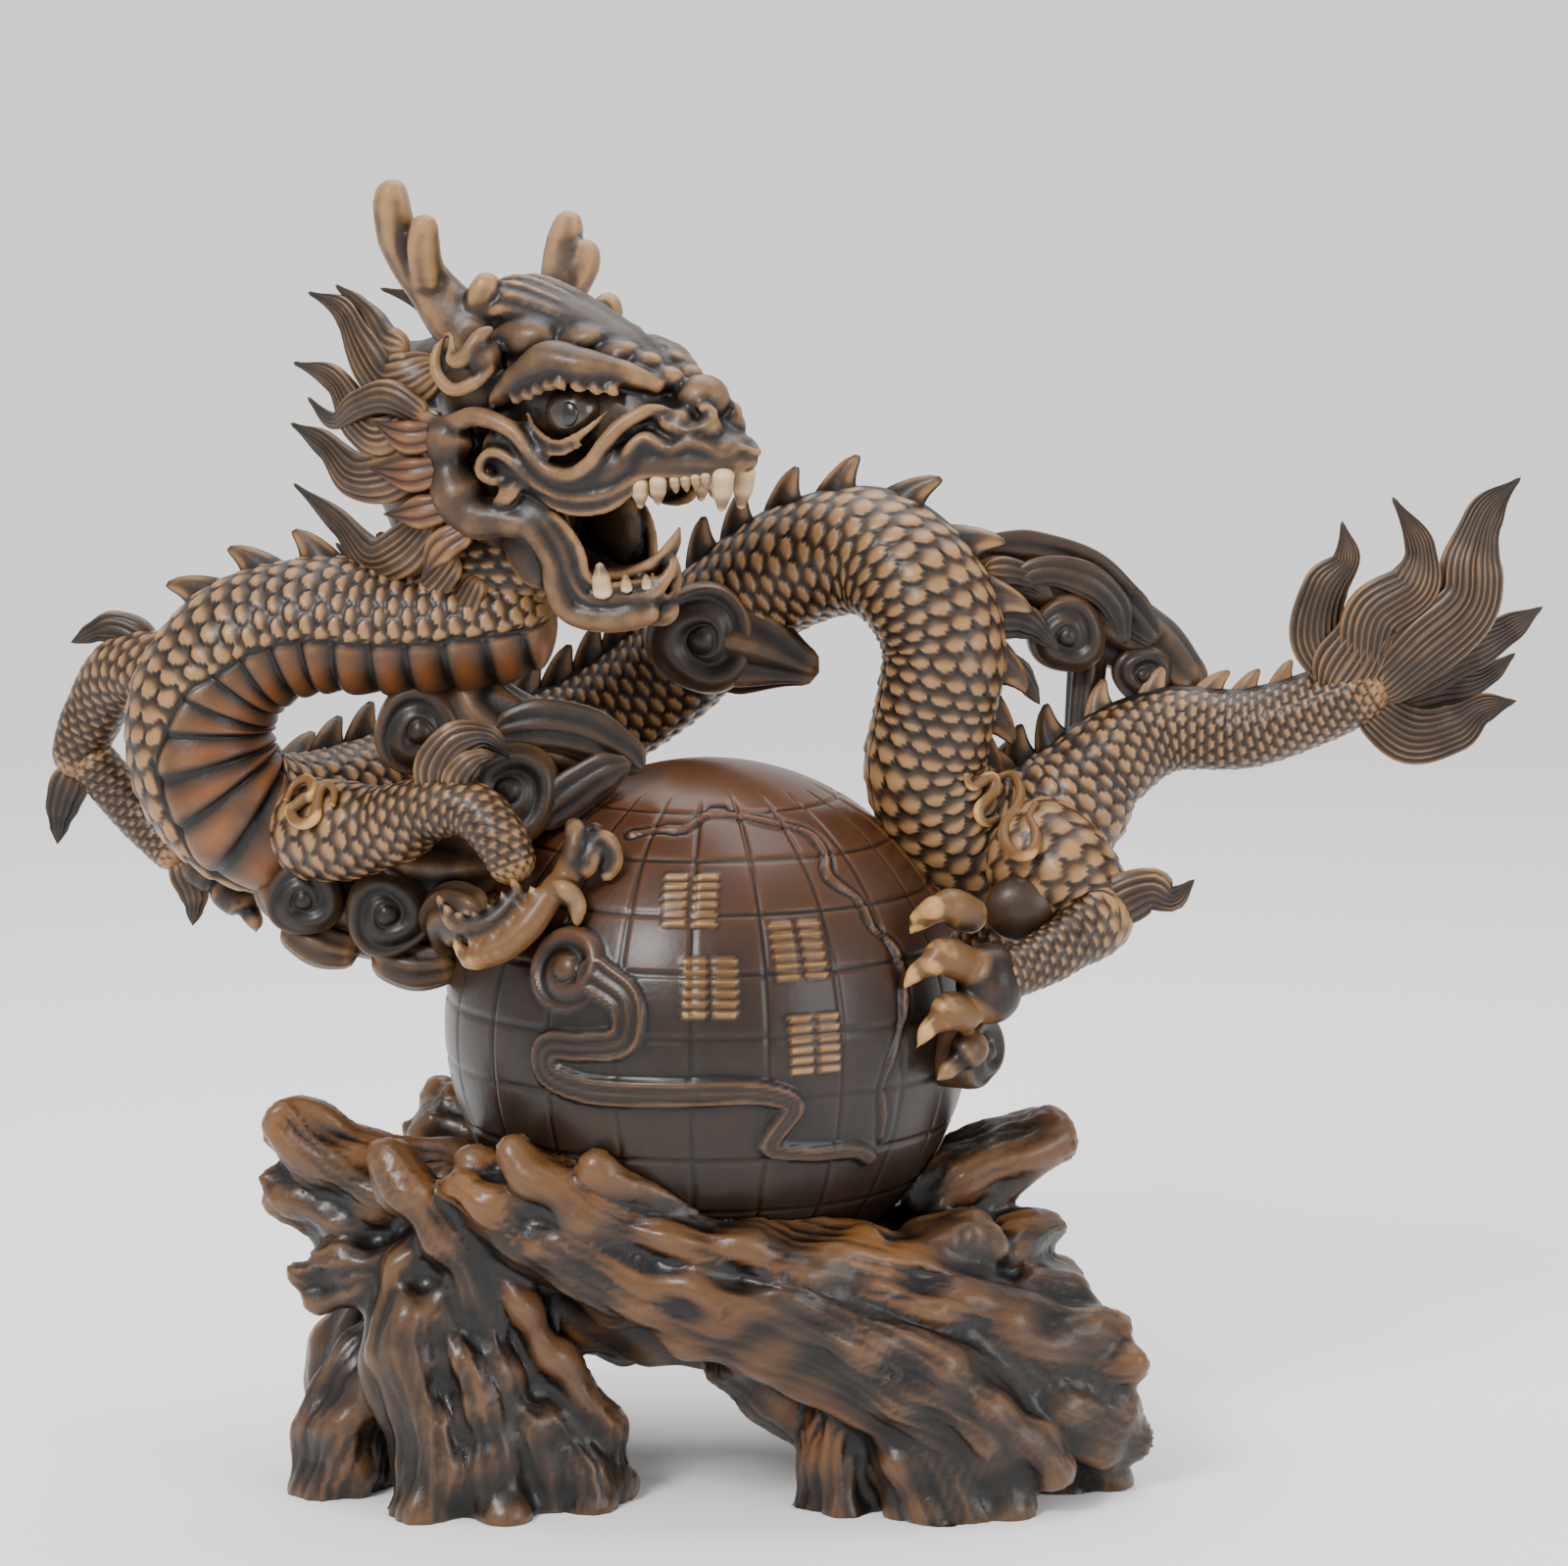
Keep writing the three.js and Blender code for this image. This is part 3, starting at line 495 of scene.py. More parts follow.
# %% The spine table and the scales
# From the foot of the neck to the tail: where the body is, the way its back faces, its half thickness.
SPINE = [
    ((-53, -14, 150), (0, 0.3, 1), 19), ((-82, -14, 144), (0, 0.3, 1), 22.5),
    ((-111, -10, 142), (0, 0.3, 1), 23),
    ((-142, -4, 142), (-0.2, 0.35, 0.9), 23.5), ((-167, 0, 132), (-0.65, 0.35, 0.7), 25),
    ((-180, 2, 112), (-0.8, 0.6, 0.15), 26), ((-178, 2, 89), (-0.6, 0.8, -0.2), 26),
    ((-162, 4, 72), (-0.2, 1, 0.1), 25), ((-135, 14, 72), (0, 0.5, 0.9), 23),
    ((-105, 34, 81), (-0.1, 0.3, 0.95), 21),
    ((-73, 48, 88), (-0.2, 0.1, 1), 19), ((-45, 52, 99), (-0.5, 0, 0.85), 18.5),
    ((-16, 48, 119), (-0.65, 0.05, 0.75), 19), ((11, 36, 147), (-0.6, 0.1, 0.8), 20),
    ((36, 24, 163), (-0.3, 0.1, 0.95), 21), ((59, 14, 167), (0.15, 0.15, 1), 21.5),
    ((76, 4, 155), (0.8, 0.2, 0.6), 21.5), ((84, 0, 135), (1, 0.3, 0.15), 21),
    ((81, 0, 112), (1, 0.35, 0), 20.5),
    ((78, 2, 89), (1, 0.4, 0.3), 21), ((91, 8, 68), (0.6, 0.4, 0.8), 23), ((112, 12, 63), (0, 0.4, 0.9), 25),
    ((130, 14, 76), (-0.6, 0.3, 0.75), 21), ((144, 16, 91), (-0.6, 0.2, 0.8), 16.5),
    ((165, 18, 102), (-0.2, 0.1, 1), 14), ((193, 14, 103), (0, 0.1, 1), 13),
    ((217, 8, 111), (-0.3, 0.1, 1), 12),
    ((243, 1, 124), (-0.4, 0, 1), 10.5),
]
SPINE_AT = [row[0] for row in SPINE]
SPINE_BACK = [row[1] for row in SPINE]
SPINE_R = [row[2] for row in SPINE]


def scales(rows, columns, lift):
    """Height of overlapping scales. rows counts along the body and columns round it, both in scales. Row n
    covers the row after it, with tips at n + 0.9 + 0.62 sqrt(1 - (2y)^2), where y is the way across."""
    row = np.floor(rows)

    def one(back):
        """The scale of the row that starts `back` rows before this one: where we are on it, and across it."""
        n = row - back
        y = columns + 0.5 * np.mod(n, 2)
        y = y - np.round(y)
        x = rows - n
        tip = 0.9 + 0.62 * np.sqrt(np.clip(1 - 4 * y * y, 0, 1))
        return x / tip, y

    x, y = one(1)
    own_x, own_y = one(0)
    covered = x < 1
    x, y = np.where(covered, x, own_x), np.where(covered, y, own_y)
    dome = 1 - 0.5 * (2 * y) ** 2
    rim = step(1 - x, 0.0, 0.12)
    return lift * (0.1 + 0.9 * x) * dome * (0.45 + 0.55 * rim)


def plates(rows, lift):
    """Height of overlapping belly plates: each rises over its length and drops at once to the next."""
    x = np.mod(rows, 1)
    return lift * (x * (1 - 0.75 * x**6) + 0.12 * np.sin(np.pi * x) - 0.5)


def rows_along(distance, radius, share):
    """How many rows lie before each place: the sum of the step over share times the radius."""
    steps = np.diff(distance, prepend=distance[0])
    return np.cumsum(steps / (share * np.maximum(radius, 5)))


def crest_of(height, lift):
    """What a scale adds to the rub: light over its face, dark in the thin line round it."""
    return 0.8 * np.sqrt(np.clip(height / lift, 0, 1)) - 0.4


# %% [markdown]
# The belly plates narrow to nothing on the lower turn of the coil. From there on the scales go all the way
# round.


# %% The body's skin
def body_stretch(start, stop, count, around, spacing):
    """The skin of the spine between two shares of its length, with count scales round it. The spine's own two
    ends are rounded, and a cut between them is closed flat."""
    path, number, distance = smooth_path(SPINE_AT, spacing)
    last = len(SPINE) - 1
    radius = eased(SPINE_R, number, last)
    _, thin, across = frames_along(path, eased(SPINE_BACK, number, last))
    rows = rows_along(distance, radius, 4.0 / count)
    full = distance[-1]
    margin = 32 * spacing
    keep = (distance >= start * full - margin) & (distance <= stop * full + margin)
    path, thin, across, radius, rows, number, distance = [
        a[keep] for a in (path, thin, across, radius, rows, number, distance)
    ]
    from_end = np.minimum(distance, full - distance) + 0.02
    capped = radius * np.sqrt(np.clip(1 - (1 - np.clip(from_end / 13, 0, 1)) ** 2, 0, 1))
    turn = np.linspace(-np.pi, np.pi, around, endpoint=False)[None, :]
    r = capped[:, None]
    # the ridge that the fins stand on, then scales, then plates on the belly
    ridge = 2.2 * np.exp(-((turn * r / 4.0) ** 2))
    lift = 1.7 * np.clip(radius / 20, 0.45, 1.1)[:, None]
    skin = scales(rows[:, None], turn * count / (2 * np.pi), lift) * step(np.abs(turn) * r, 2.5, 5.5)
    crest = crest_of(skin, lift)
    belly_half = np.interp(number, [0, 1, 3, 6, 8, 9, 27], [64, 68, 66, 78, 60, 0, 0])[:, None]
    from_belly = 180 - np.degrees(np.abs(turn))
    on_belly = step(belly_half - from_belly, -1.0, 1.0)
    plate_rows = (distance / 12.4)[:, None]
    edge = np.exp(-(((from_belly - belly_half) / 4.5) ** 2)) * (belly_half > 5)
    skin = skin * (1 - on_belly) + plates(plate_rows, 2.8) * on_belly - 1.2 * edge
    reach = r + ridge + skin * np.minimum(1, r / radius[:, None])
    points = path[:, None] + across[:, None] * (reach * np.sin(-turn))[..., None]
    points = points + thin[:, None] * (reach * np.cos(turn))[..., None]
    middle = np.exp(-(((from_belly - 0.45 * belly_half) / 26) ** 2))
    on_plate = np.mod(plate_rows, 1)
    tint = on_belly * middle * np.exp(-(((on_plate - 0.55) / 0.26) ** 2))
    plate_crest = 0.3 * (1 - on_plate) - 0.14 - 0.34 * np.exp(-((np.minimum(on_plate,
                                                                            1 - on_plate) / 0.1) ** 2))
    crest = crest * (1 - on_belly) + plate_crest * on_belly
    # the rub is read with a margin past both ends, so that the two stretches agree where they meet
    wide = close_ends((points.reshape(-1, 3), grid_faces(len(path), around)), len(path), around)
    rub = np.clip(rub_of(*wide)[:-2].reshape(len(path), around) + crest, 0, 1)
    inside = (distance >= start * full - 1e-6) & (distance <= stop * full + 1e-6)
    rows = int(inside.sum())
    shape = close_ends((points[inside].reshape(-1, 3), grid_faces(rows, around)), rows, around)
    return shape, {name: np.append(values[inside].ravel(), [0, 0]) for name,
                   values in (("tint", tint), ("rub", rub))}


for name, start, stop, count, around, spacing in (
    ("body_front", 0, 0.401, 18, 164, 0.94), ("body_rear", 0.4, 1, 15, 132, 1.05),
):
    shape, masks = body_stretch(start, stop, count, around, spacing)
    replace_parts(make_piece(name, shape, bronze_brown, masks), "dragon")

# %% [markdown]
# ## The back fins
# A fin is a small curved blade. In its own plane it is a hook: broad at the root and curling towards the
# tail. One blade is worked out once, then set on the spine about every 15.5 mm, from the second place on.

# %% Fins along the spine
FIN_PITCH, FIN_HEIGHT, FULL_BODY = 15.5, 12.5, 19


def fin_blade(rows=15, columns=22):
    """A hooked blade, as (along the spine, thickness, height) for a fin of height 1. Its half length falls as
    0.38 (1 - t)^1.2 + 0.3 to a rounded tip, and the tip leans by 0.75 t^1.6."""
    t = np.linspace(0, 1, rows)[:, None]
    a = np.linspace(0, 2 * np.pi, columns, endpoint=False)[None, :]
    half = (0.38 * (1 - t) ** 1.2 + 0.3) * np.sqrt(np.clip(1 - t**8, 0, 1))
    groove = 1 - 0.35 * np.cos(a - 0.6) ** 8 - 0.35 * np.cos(a + 0.6) ** 8
    x = half * np.cos(a) + 0.75 * t**1.6
    y = 0.26 * (1.05 - t) ** 0.5 * np.sin(a) * groove * np.sqrt(np.clip(1 - t**8, 0, 1))
    z = t + 0 * a
    shape = np.stack([x, y, z], axis=-1).reshape(-1, 3), grid_faces(rows, columns)
    return close_ends(shape, rows, columns)


path, number, distance = smooth_path(SPINE_AT, 1.0)
along, thin, across = frames_along(path, eased(SPINE_BACK, number, len(SPINE) - 1))
fin_count = round(distance[-1] / FIN_PITCH)
blade, blade_faces = fin_blade()
fins = []
for k in range(1, fin_count):
    i = int((k + 0.5) / fin_count * (len(path) - 1))
    r = np.interp(number[i], range(len(SPINE)), SPINE_R)
    height = FIN_HEIGHT * min(1, r / FULL_BODY)
    root = path[i] + thin[i] * (r - 1)
    local = blade * [height * 1.1, height, height * 1.1]
    fins.append((root + local[:, :1] * along[i] + local[:, 1:2] * across[i] + local[:, 2:] * thin[i],
                 blade_faces))
make_piece("back_fins", join(fins), bronze_brown, carving_and_shade=0.08)

# %% [markdown]
# ## The head
# The head has a frame of its own: forward, to the dragon's left, and up, from the hinge of the jaw. It
# turns towards the front and tips back a little. Every lip, lid and roll is a stroke, and a stroke given
# for one side of the face is made on both. Fused together they read as one carved face.

# %% The head's frame
HINGE = np.array([-69, -16, 192])
YAW, PITCH = np.radians(-35), np.radians(9)
TURN = np.array([[np.cos(YAW), -np.sin(YAW), 0], [np.sin(YAW), np.cos(YAW), 0], [0, 0, 1]]) @ np.array(
    [[np.cos(PITCH), 0, -np.sin(PITCH)], [0, 1, 0], [np.sin(PITCH), 0, np.cos(PITCH)]]
)
SIDEWAYS, UP = (0, 1, 0), (0, 0, 1)


def in_head(points):
    return HINGE + points @ TURN.T


def line(points, radius, **options):
    """One stroke on the head."""
    return stroke(points, radius, **{"place": in_head, "face": SIDEWAYS, "around": 20, **options})


def both(points, radius, **options):
    """The same stroke on the two sides of the face. The points are given for the right side."""
    return [line([(f, side * s, u) for f, s, u in points], radius, **options) for side in (1, -1)]


def lumps(centre, radii):
    return [ball((centre[0], side * centre[1], centre[2]), radii, place=in_head) for side in (1, -1)]


# %% [markdown]
# The moustache starts at the nose, dips under the eye, rises over the cheek and runs back into the mane.
# The lip starts in a spiral behind the mouth and runs forward under it. The cheek rolls down from the
# temple into the rim of the lower jaw, with two thinner rims inside it.

# %% The carved face
MOUSTACHE = [(83, -12, 18), (78.5, -16, 19.8), (75.5, -19, 19.1), (68.8, -23, 15.7), (63.5, -26, 10.5),
             (58, -28, 4.5), (50, -29, 1.5), (41.3, -30, 4.2), (36, -31, 10.6), (31, -32, 18.3),
             (24, -33, 23.2),
             (15, -34, 26.1), (6.8, -35, 24.7), (0, -35, 25.2), (-7, -35, 29.4), (-17, -34, 35)]
LIP = [(24, -32, 4), (20, -33, 3), (15, -34, 6.5), (16.5, -34, 11), (21.5, -34, 13), (27, -33, 10.5),
       (31, -32, 6.5), (37.6, -30.5, -0.4), (45.4, -28.5, -5), (56, -26, -6.8), (62.6, -23.5, -6),
       (69.4, -20.5, -2.6),
       (75, -18, -1.2), (86, -13, -3), (94, -8, -3.6), (102, -3, -3.6), (107, 0, -1.5)]
UNDER_LIP = [(32.5, -29.5, -1), (41, -28, -8), (50, -26, -11), (59, -23.5, -11), (65, -21, -8.5),
             (70, -19, -6)]
WAVY_RIM = [(66, -22.5, 3), (69.4, -22, 6.2), (72.6, -20.5, 9.4), (75.6, -18.5, 10.8), (79.8, -17, 8),
            (83.8, -15.5, 5.4), (89.2, -13.5, 7.1), (94.5, -11, 5.3), (100, -8, 1.6), (104.4, -4, 3.1),
            (110, 0, 0.2)]
CHEEK = [(6, -29, 27), (2, -32, 20), (1, -33, 11), (3, -33, 0), (9, -32, -8), (20, -30, -11), (29, -27, -15),
         (33, -24, -26), (32, -22, -36), (34, -19, -44), (42, -15, -48), (53, -9, -49), (61, -3, -47)]
RIM = [(12, -31, -3), (24, -29, -7), (33, -27, -12), (38, -24, -21), (38.5, -21, -32), (41, -18, -40),
       (50, -13, -42.5), (61, -6, -42), (66, -2, -36), (68, 0, -30)]
INNER_RIM = [(20, -29, -1), (32, -27, -7), (40, -24, -15), (43.5, -21, -25), (43.5, -19, -33), (47, -16, -37),
             (56, -9, -38), (64, -4, -37)]


def face_parts():
    parts = [
        line([(-20, 0, 30), (5, 0, 33), (32, 0, 30), (58, 0, 20), (80, 0, 11), (100, 0, 4), (106, 0, 1)],
             [18, 27, 26, 20, 15.5, 10, 4], flat=[1, 1.05, 1.05, 1, 0.75, 0.4, 0.35], face=UP),
        line([(-8, 0, 50), (16, 0, 58), (36, 0, 52), (54, 0, 42), (66, 0, 33), (77, 0, 27)],
             [14, 17, 16, 14, 11, 7], flat=0.8, face=UP),
        # the floor of the mouth, the throat and the tongue
        line([(6, 0, -14), (22, 0, -30), (38, 0, -43), (54, 0, -46), (64, 0, -43)], [26, 23, 19, 13, 6],
             flat=0.2,
             face=UP),
        ball((6, 0, 0), (17, 28, 26), place=in_head),
        *lumps((25, 20, -17), (15, 5, 19)),
        line([(18, 0, -22), (36, 0, -33), (54, 0, -34), (66, 0, -28), (72, 0, -20)], [10, 9, 8, 5, 1.5],
             flat=0.4,
             face=UP),
        # the ball of the nose and the bumps along the bridge
        ball((88, 0, 21.5), (9.5, 9.5, 8.5), place=in_head),
        *[s for centre, radii in (
            ((84, -11, 14.5), (6.5, 4.5, 5)), ((94, -7, 11), (5, 5, 4.5)), ((46, -10, 47), (13, 8, 6)),
            ((60, -8, 40.5), (10, 7, 5.5)), ((70, -7, 36), (8, 5, 4.5)), ((78, -6, 30), (7, 5, 4.5)),
            ((28, -17, 50), (14, 9, 8)),
        ) for s in lumps(centre, radii)],
    ]
    sides = [
        (MOUSTACHE, [2.2, 2.6, 2.8, 3, 3, 3.2, 3.6, 3.4, 2], {}),
        (LIP, [1.8, 2, 2, 2.4, 2.4, 2.2, 2, 2, 1.4], {}),
        (UNDER_LIP, [1.2, 2, 2, 1.2], {}),
        (WAVY_RIM, [1.2, 2.3, 2.5, 2.4, 2.4, 2, 0.9], {}),
        # the swell between the moustache and the lip, and the lip's own swell below its wavy rim
        ([(14, -23, 19), (30, -25, 6), (46, -23, -1), (60, -20, 1), (74, -15, 6), (88, -8, 4)],
         [9, 8.5, 7.5, 7, 5.5, 5], {}),
        ([(60, -20, -1), (72, -17, 1.5), (82, -13.5, 1.5), (92, -9.5, 0.5), (101, -4, -0.5), (107, 0, -0.8)],
         [4, 4.5, 4.5, 4, 3.4, 1.5], {}),
        (CHEEK, [5, 8.8, 6.6, 9.4, 8, 5.6, 5, 4.2, 4.2, 4.6, 5, 5, 4], {}),
        (RIM, [2, 2.6, 2.6, 2.4, 2.4, 2.4, 2.4, 2.2, 1.4], {}),
        (INNER_RIM, [1.4, 2, 2, 2, 1.8, 1.2], {}),
        # the pointed leaf under the spiral
        ([(31, -31, 3), (25, -33.5, -2), (17, -34, -5.5)], [2.5, 3.6, 0.6], {"flat": 0.6}),
        # brow, upper and lower lid
        ([(18, -26, 29), (34, -28, 37), (46, -27, 41), (57, -25, 38), (68, -18, 34), (80, -9, 27)],
         [4, 6.5, 8.5, 7.5, 5.5, 3.5], {"flat": 0.85, "face": UP}),
        ([(34, -28, 26), (37, -29, 19), (46, -29.5, 13), (57, -27.5, 15.5), (65, -22, 22)],
         [1, 1.5, 1.6, 1], {}),
        ([(31, -29, 24), (35, -30, 15.5), (46, -30, 9.5), (59, -27, 12)], [0.8, 1.3, 1.3, 0.7], {}),
        # the curl of the nostril, and the whiskers' root before it
        ([(78, -15, 19), (83, -15, 14), (90, -12.5, 11), (96, -8, 13), (97, -7, 17), (92, -10, 18.5)],
         [1.2, 2, 2.2, 2, 1.6, 1.2], {}),
        # the ear: its body, and two rims round its hollow
        ([(17, -29, 40), (21, -31, 46), (26, -29, 50)], [6, 7.5, 5], {}),
        ([(9, -33, 57), (5, -37, 49), (6, -39, 42), (12, -39, 36), (19, -37, 37), (27, -33, 42)],
         [0.8, 2, 2.4, 2.6, 2.6, 1.6], {}),
        ([(9, -33, 57), (12.5, -37, 51), (13.5, -39, 46), (18, -38.5, 46), (23, -35, 52), (27, -31, 56)],
         [0.8, 1.6, 2.6, 3.2, 3.2, 1.4], {}),
    ]
    parts += [s for points, radius, options in sides for s in both(points, radius, **options)]
    # the small leaves that hang from the brow
    for f in np.linspace(33, 68, 8):
        s = np.interp(f, [33, 53, 68], [-30.5, -31, -22])
        u = np.interp(f, [33, 50, 68], [30, 33.5, 28])
        parts += both([(f - 1, s, u + 3), (f, s - 1.2, u), (f + 2, s - 0.5, u - 3)], [1.8, 2.3, 0.7])
    # ridges of hair over the crown
    for turn in np.radians([14, 34, 54, 74]):
        s, u = -np.sin(turn), np.cos(turn)
        parts += both([(-10, 14 * s, 50 + 11.5 * u), (16, 17.8 * s, 58 + 14 * u), (36, 16.4 * s, 52 + 13 * u),
                       (50, 13 * s, 45 + 10 * u)], [2, 2.6, 2.3, 0.8])
    # the mass of hair that the locks grow from
    parts += [
        line([(2, 0, 46), (-22, 0, 44), (-46, 0, 56)], [24, 20, 6], flat=0.7, face=UP),
        line([(4, 0, 4), (-26, 0, -2), (-56, 0, 10)], [29, 25, 8], face=UP),
    ]
    return parts


HORNS = [
    # [the beam, its tine, the stub at its root] on the right side, then on the left
    ([(10, -14, 48), (0, -16, 60), (-8, -21, 76), (-13, -26, 90), (-10.5, -31, 102), (-6.5, -34, 111)],
     [(-6, -22, 72), (-1, -29, 86), (5, -33, 97)], [(6, -14, 56), (12, -16, 67), (17, -16, 75)]),
    ([(13, 14, 48), (14, 16, 56), (18, 20, 68), (17, 26, 81), (17, 34, 95)],
     [(18, 18, 62), (25, 26, 75), (25.5, 30, 84)], [(30, 15, 46), (38, 18, 56), (39.5, 20, 64)]),
]


def horn(beam, tine, stub):
    """A beam with a tine and a short stub at its root, all lightly fluted."""
    def flutes(distance, angle, radius):
        return 0.35 * np.cos(5 * angle + 0.05 * distance)
    return [
        line(beam, [12.5, 10.5, 8.4, 7.4, 6.6, 4.8], relief=flutes, around=32),
        line(tine, [6.5, 6, 4.4], relief=flutes),
        line(stub, [7.5, 6, 4.2], relief=flutes),
    ]


shape = fuse([*face_parts(), *horn(*HORNS[0]), *horn(*HORNS[1])], 1.15, 2)
to_horn = np.min([near_line(shape[0], in_head(np.array(path[1:])))[0] for horns in HORNS for path in horns],
                 axis=0)
make_piece("head", shape, bronze_brown, carving_and_shade=0.2 * step(13.0 - to_horn, 0, 4))

# %% Eyes and teeth
eyes = [part for centre, radii in (((48.5, -20.5, 23), (10.5, 9.2, 9.6)),
                                   ((51, -27.6, 22.5), (4.4, 2.0, 4.6)))
        for part in lumps(centre, radii)]
make_piece("eyes", join(eyes), eye_brown)
TEETH = [
    # [root, tip, half thickness], along the right side
    ((71, -18, -2), (69, -17.6, -13), 3.2), ((77.5, -16.4, -2), (75.5, -16, -12.5), 3.2),
    ((82.5, -14.2, -3), (82.3, -14, -9.5), 2), ((86, -12.8, -3), (85.8, -12.6, -9.5), 2),
    ((89.3, -11.4, -3), (89, -11.2, -9.5), 2), ((92.4, -9.8, -3), (92, -9.6, -9.5), 2),
    ((98, -6.4, -2), (94, -5.6, -17.5), 4), ((47.5, -16.5, -42), (48.5, -17.5, -29), 3.6),
    ((54.5, -12, -41), (55, -12.4, -34), 2.2), ((60, -7.6, -41), (60.4, -7.8, -35), 2),
]
teeth = [part for root, tip, half in TEETH
         for part in both([root, tuple((np.array(root) + tip) / 2), tip], [half, half * 0.9, half * 0.35],
                          spacing=0.8)]
make_piece("teeth", join(teeth), tooth_tan)

# %% [markdown]
# ## Mane
# A lock of hair is a flat tapering stroke. Grooves run its whole length, so its strands stay parallel and
# meet at the tip.


# %% Locks with strands
def strands(count, depth):
    """Grooves along a lock, evenly spaced over its width. They fade at the narrow tip."""
    def relief(distance, angle, radius):
        return depth * np.minimum(1, radius / 6) * (np.abs(np.cos(np.pi * count * np.cos(angle) / 2)) - 0.6)
    return relief


def lock(points, width, count=5, flat=0.5, **options):
    return stroke(points, [width * 0.75, width, width * 0.85, width * 0.5, 0.8],
                  **{"flat": flat, "around": 48, "spacing": 1.8, "relief": strands(count, 0.11 * width),
                     **options})


MANE = [
    # [path on the right side, width, strands]
    ([(-4, -24, 46), (-14, -29, 42), (-24, -29, 43), (-35, -27, 57), (-44, -24, 70), (-63, -20, 79)], 11, 7),
    ([(-14, -28, 52), (-24, -27, 56), (-34, -24, 68), (-50, -20, 80)], 7, 5),
    ([(-4, -35, 28), (-17, -38, 37), (-32, -37, 36), (-48, -33, 32), (-62, -29, 42)], 6.5, 5),
    ([(-10, -31, 30), (-24, -34, 24), (-36, -32, 30), (-47, -30, 46), (-69, -26, 55)], 10, 7),
    ([(-10, -32, 14), (-26, -34, 10), (-42, -32, 12), (-56, -29, 24), (-74, -26, 34)], 10, 7),
    ([(-10, -30, -6), (-26, -30, -16), (-44, -26, -18), (-60, -22, -4), (-85, -16, 13)], 9.5, 7),
    ([(-8, -24, -20), (-24, -24, -30), (-42, -21, -30), (-56, -18, -22), (-70, -15, -10)], 8, 6),
    ([(-2, -20, -28), (-14, -22, -42), (-30, -20, -46), (-44, -16, -38)], 7, 5),
]
CHEEK_TUFTS = [((2, -34, 22), (-9, -40, 22), (-24, -42, 30)), ((2, -35, 10), (-9, -41, 9), (-28, -43, 14)),
               ((3, -35, -3), (-8, -40, -4), (-24, -42, -3)),
               ((7, -33, -12), (-3, -38, -17), (-14, -38, -27))]
locks = []
for points, width, count in MANE:
    for side in (1, -1):
        locks.append(lock([(f, side * s, u) for f, s, u in points], width, count, place=in_head,
                          face=SIDEWAYS))
make_piece("mane", join(locks), bronze_brown, carving_and_shade=0.04)
leaves = join([stroke([(f, side * s, u) for f, s, u in points], [5, 6.5, 0.6], flat=0.4, face=SIDEWAYS,
                      around=36,
                      spacing=1.4, relief=strands(3, 0.8), place=in_head) for points in CHEEK_TUFTS
               for side in (1, -1)])
make_piece("cheek_tufts", leaves, bronze_brown, {"tint": np.full(len(leaves[0]), 0.5)}, 0.04)

# %% [markdown]
# ## Legs and paws
# Twelve scales go round a leg, so they shrink as it thins. A paw is a few fused strokes: a palm, toes that
# bend at a knuckle, and claws. The two far paws are plainer and have two toes each.


# %% Legs with scales
def scaly(count, lift, seen):
    """Scales for a stroke, in rows that shorten as it thins. Their heights are added to the list `seen`."""
    def relief(distance, angle, radius):
        rows = rows_along(distance[:, 0], radius[:, 0], 4.2 / count)[:, None]
        most = lift * np.clip(radius / 14, 0.4, 1.1)
        height = scales(rows, angle * count / (2 * np.pi), most)
        seen.append(crest_of(height, most))
        return height
    return relief


def scaled_stroke(points, radius, count=12, lift=1.3, **options):
    """A stroke in scales, and what they add to its rub."""
    seen = []
    shape = stroke(points, radius, **{"around": 68, "spacing": 1.05, "relief": scaly(count, lift, seen),
                                      **options})
    return shape, np.append(seen[0].ravel(), [0, 0])


legs = [
    scaled_stroke([(-149, -6, 71), (-130, -22, 72), (-110, -35, 76), (-94, -46, 84), (-81, -53, 84),
                   (-71, -59, 75),
         (-64, -62, 60)], [19, 17, 13.5, 10.5, 9.5, 9, 7.5]),
    scaled_stroke([(-176, 10, 120), (-211, 34, 123), (-226, 46, 103), (-235, 49, 82)], [14, 12, 10.5, 8]),
    scaled_stroke([(-230, 48, 92), (-210, 44, 69), (-191, 36, 52)], [8.5, 8.5, 8]),
    scaled_stroke([(106, 0, 68), (126, -15, 56), (138, -24, 43), (125, -38, 33), (108, -48, 26),
                   (96, -54, 23)],
        [24, 19, 13, 9.5, 8.5, 8]),
    scaled_stroke([(110, 18, 66), (124, 38, 52), (122, 52, 34), (104, 56, 22), (88, 60, 18)],
                  [22, 15, 10, 9, 9]),
]
shapes, crests = zip(*legs)
make_piece("legs", join(shapes), bronze_brown, carving_and_shade=np.concatenate(crests))


def toe(root, knuckle, tip, half=5.2):
    """A bent toe with a swollen knuckle and a claw that tapers from it."""
    root, knuckle, tip = (np.array(p, dtype=float) for p in (root, knuckle, tip))
    return [
        stroke([root, (root + knuckle) / 2, knuckle, (knuckle * 2 + tip) / 3],
               [half, half * 1.12, half * 0.8],
               around=20),
        stroke([knuckle, (knuckle + tip) / 2 + 0.12 * (knuckle - root), tip], [half * 0.7, half * 0.55, 0.7],
               around=16),
    ]


GOLD_BAND = [(-84, -64, 33), (-78, -69, 35), (-69, -71, 39), (-61, -71, 46), (-55, -69, 54), (-49, -66, 63)]
FRILL = [(-91, -58, 51), (-87, -63, 47), (-81, -67, 45), (-74, -69, 47), (-68, -69, 52), (-63, -67, 59)]
HIND_BANDS = [[(90, -52, 51), (80, -57, 50), (71, -56, 45)], [(92, -58, 31), (80, -63, 32), (70, -62, 27)],
              [(94, -58, 12), (84, -64, 13), (75, -64, 7)]]


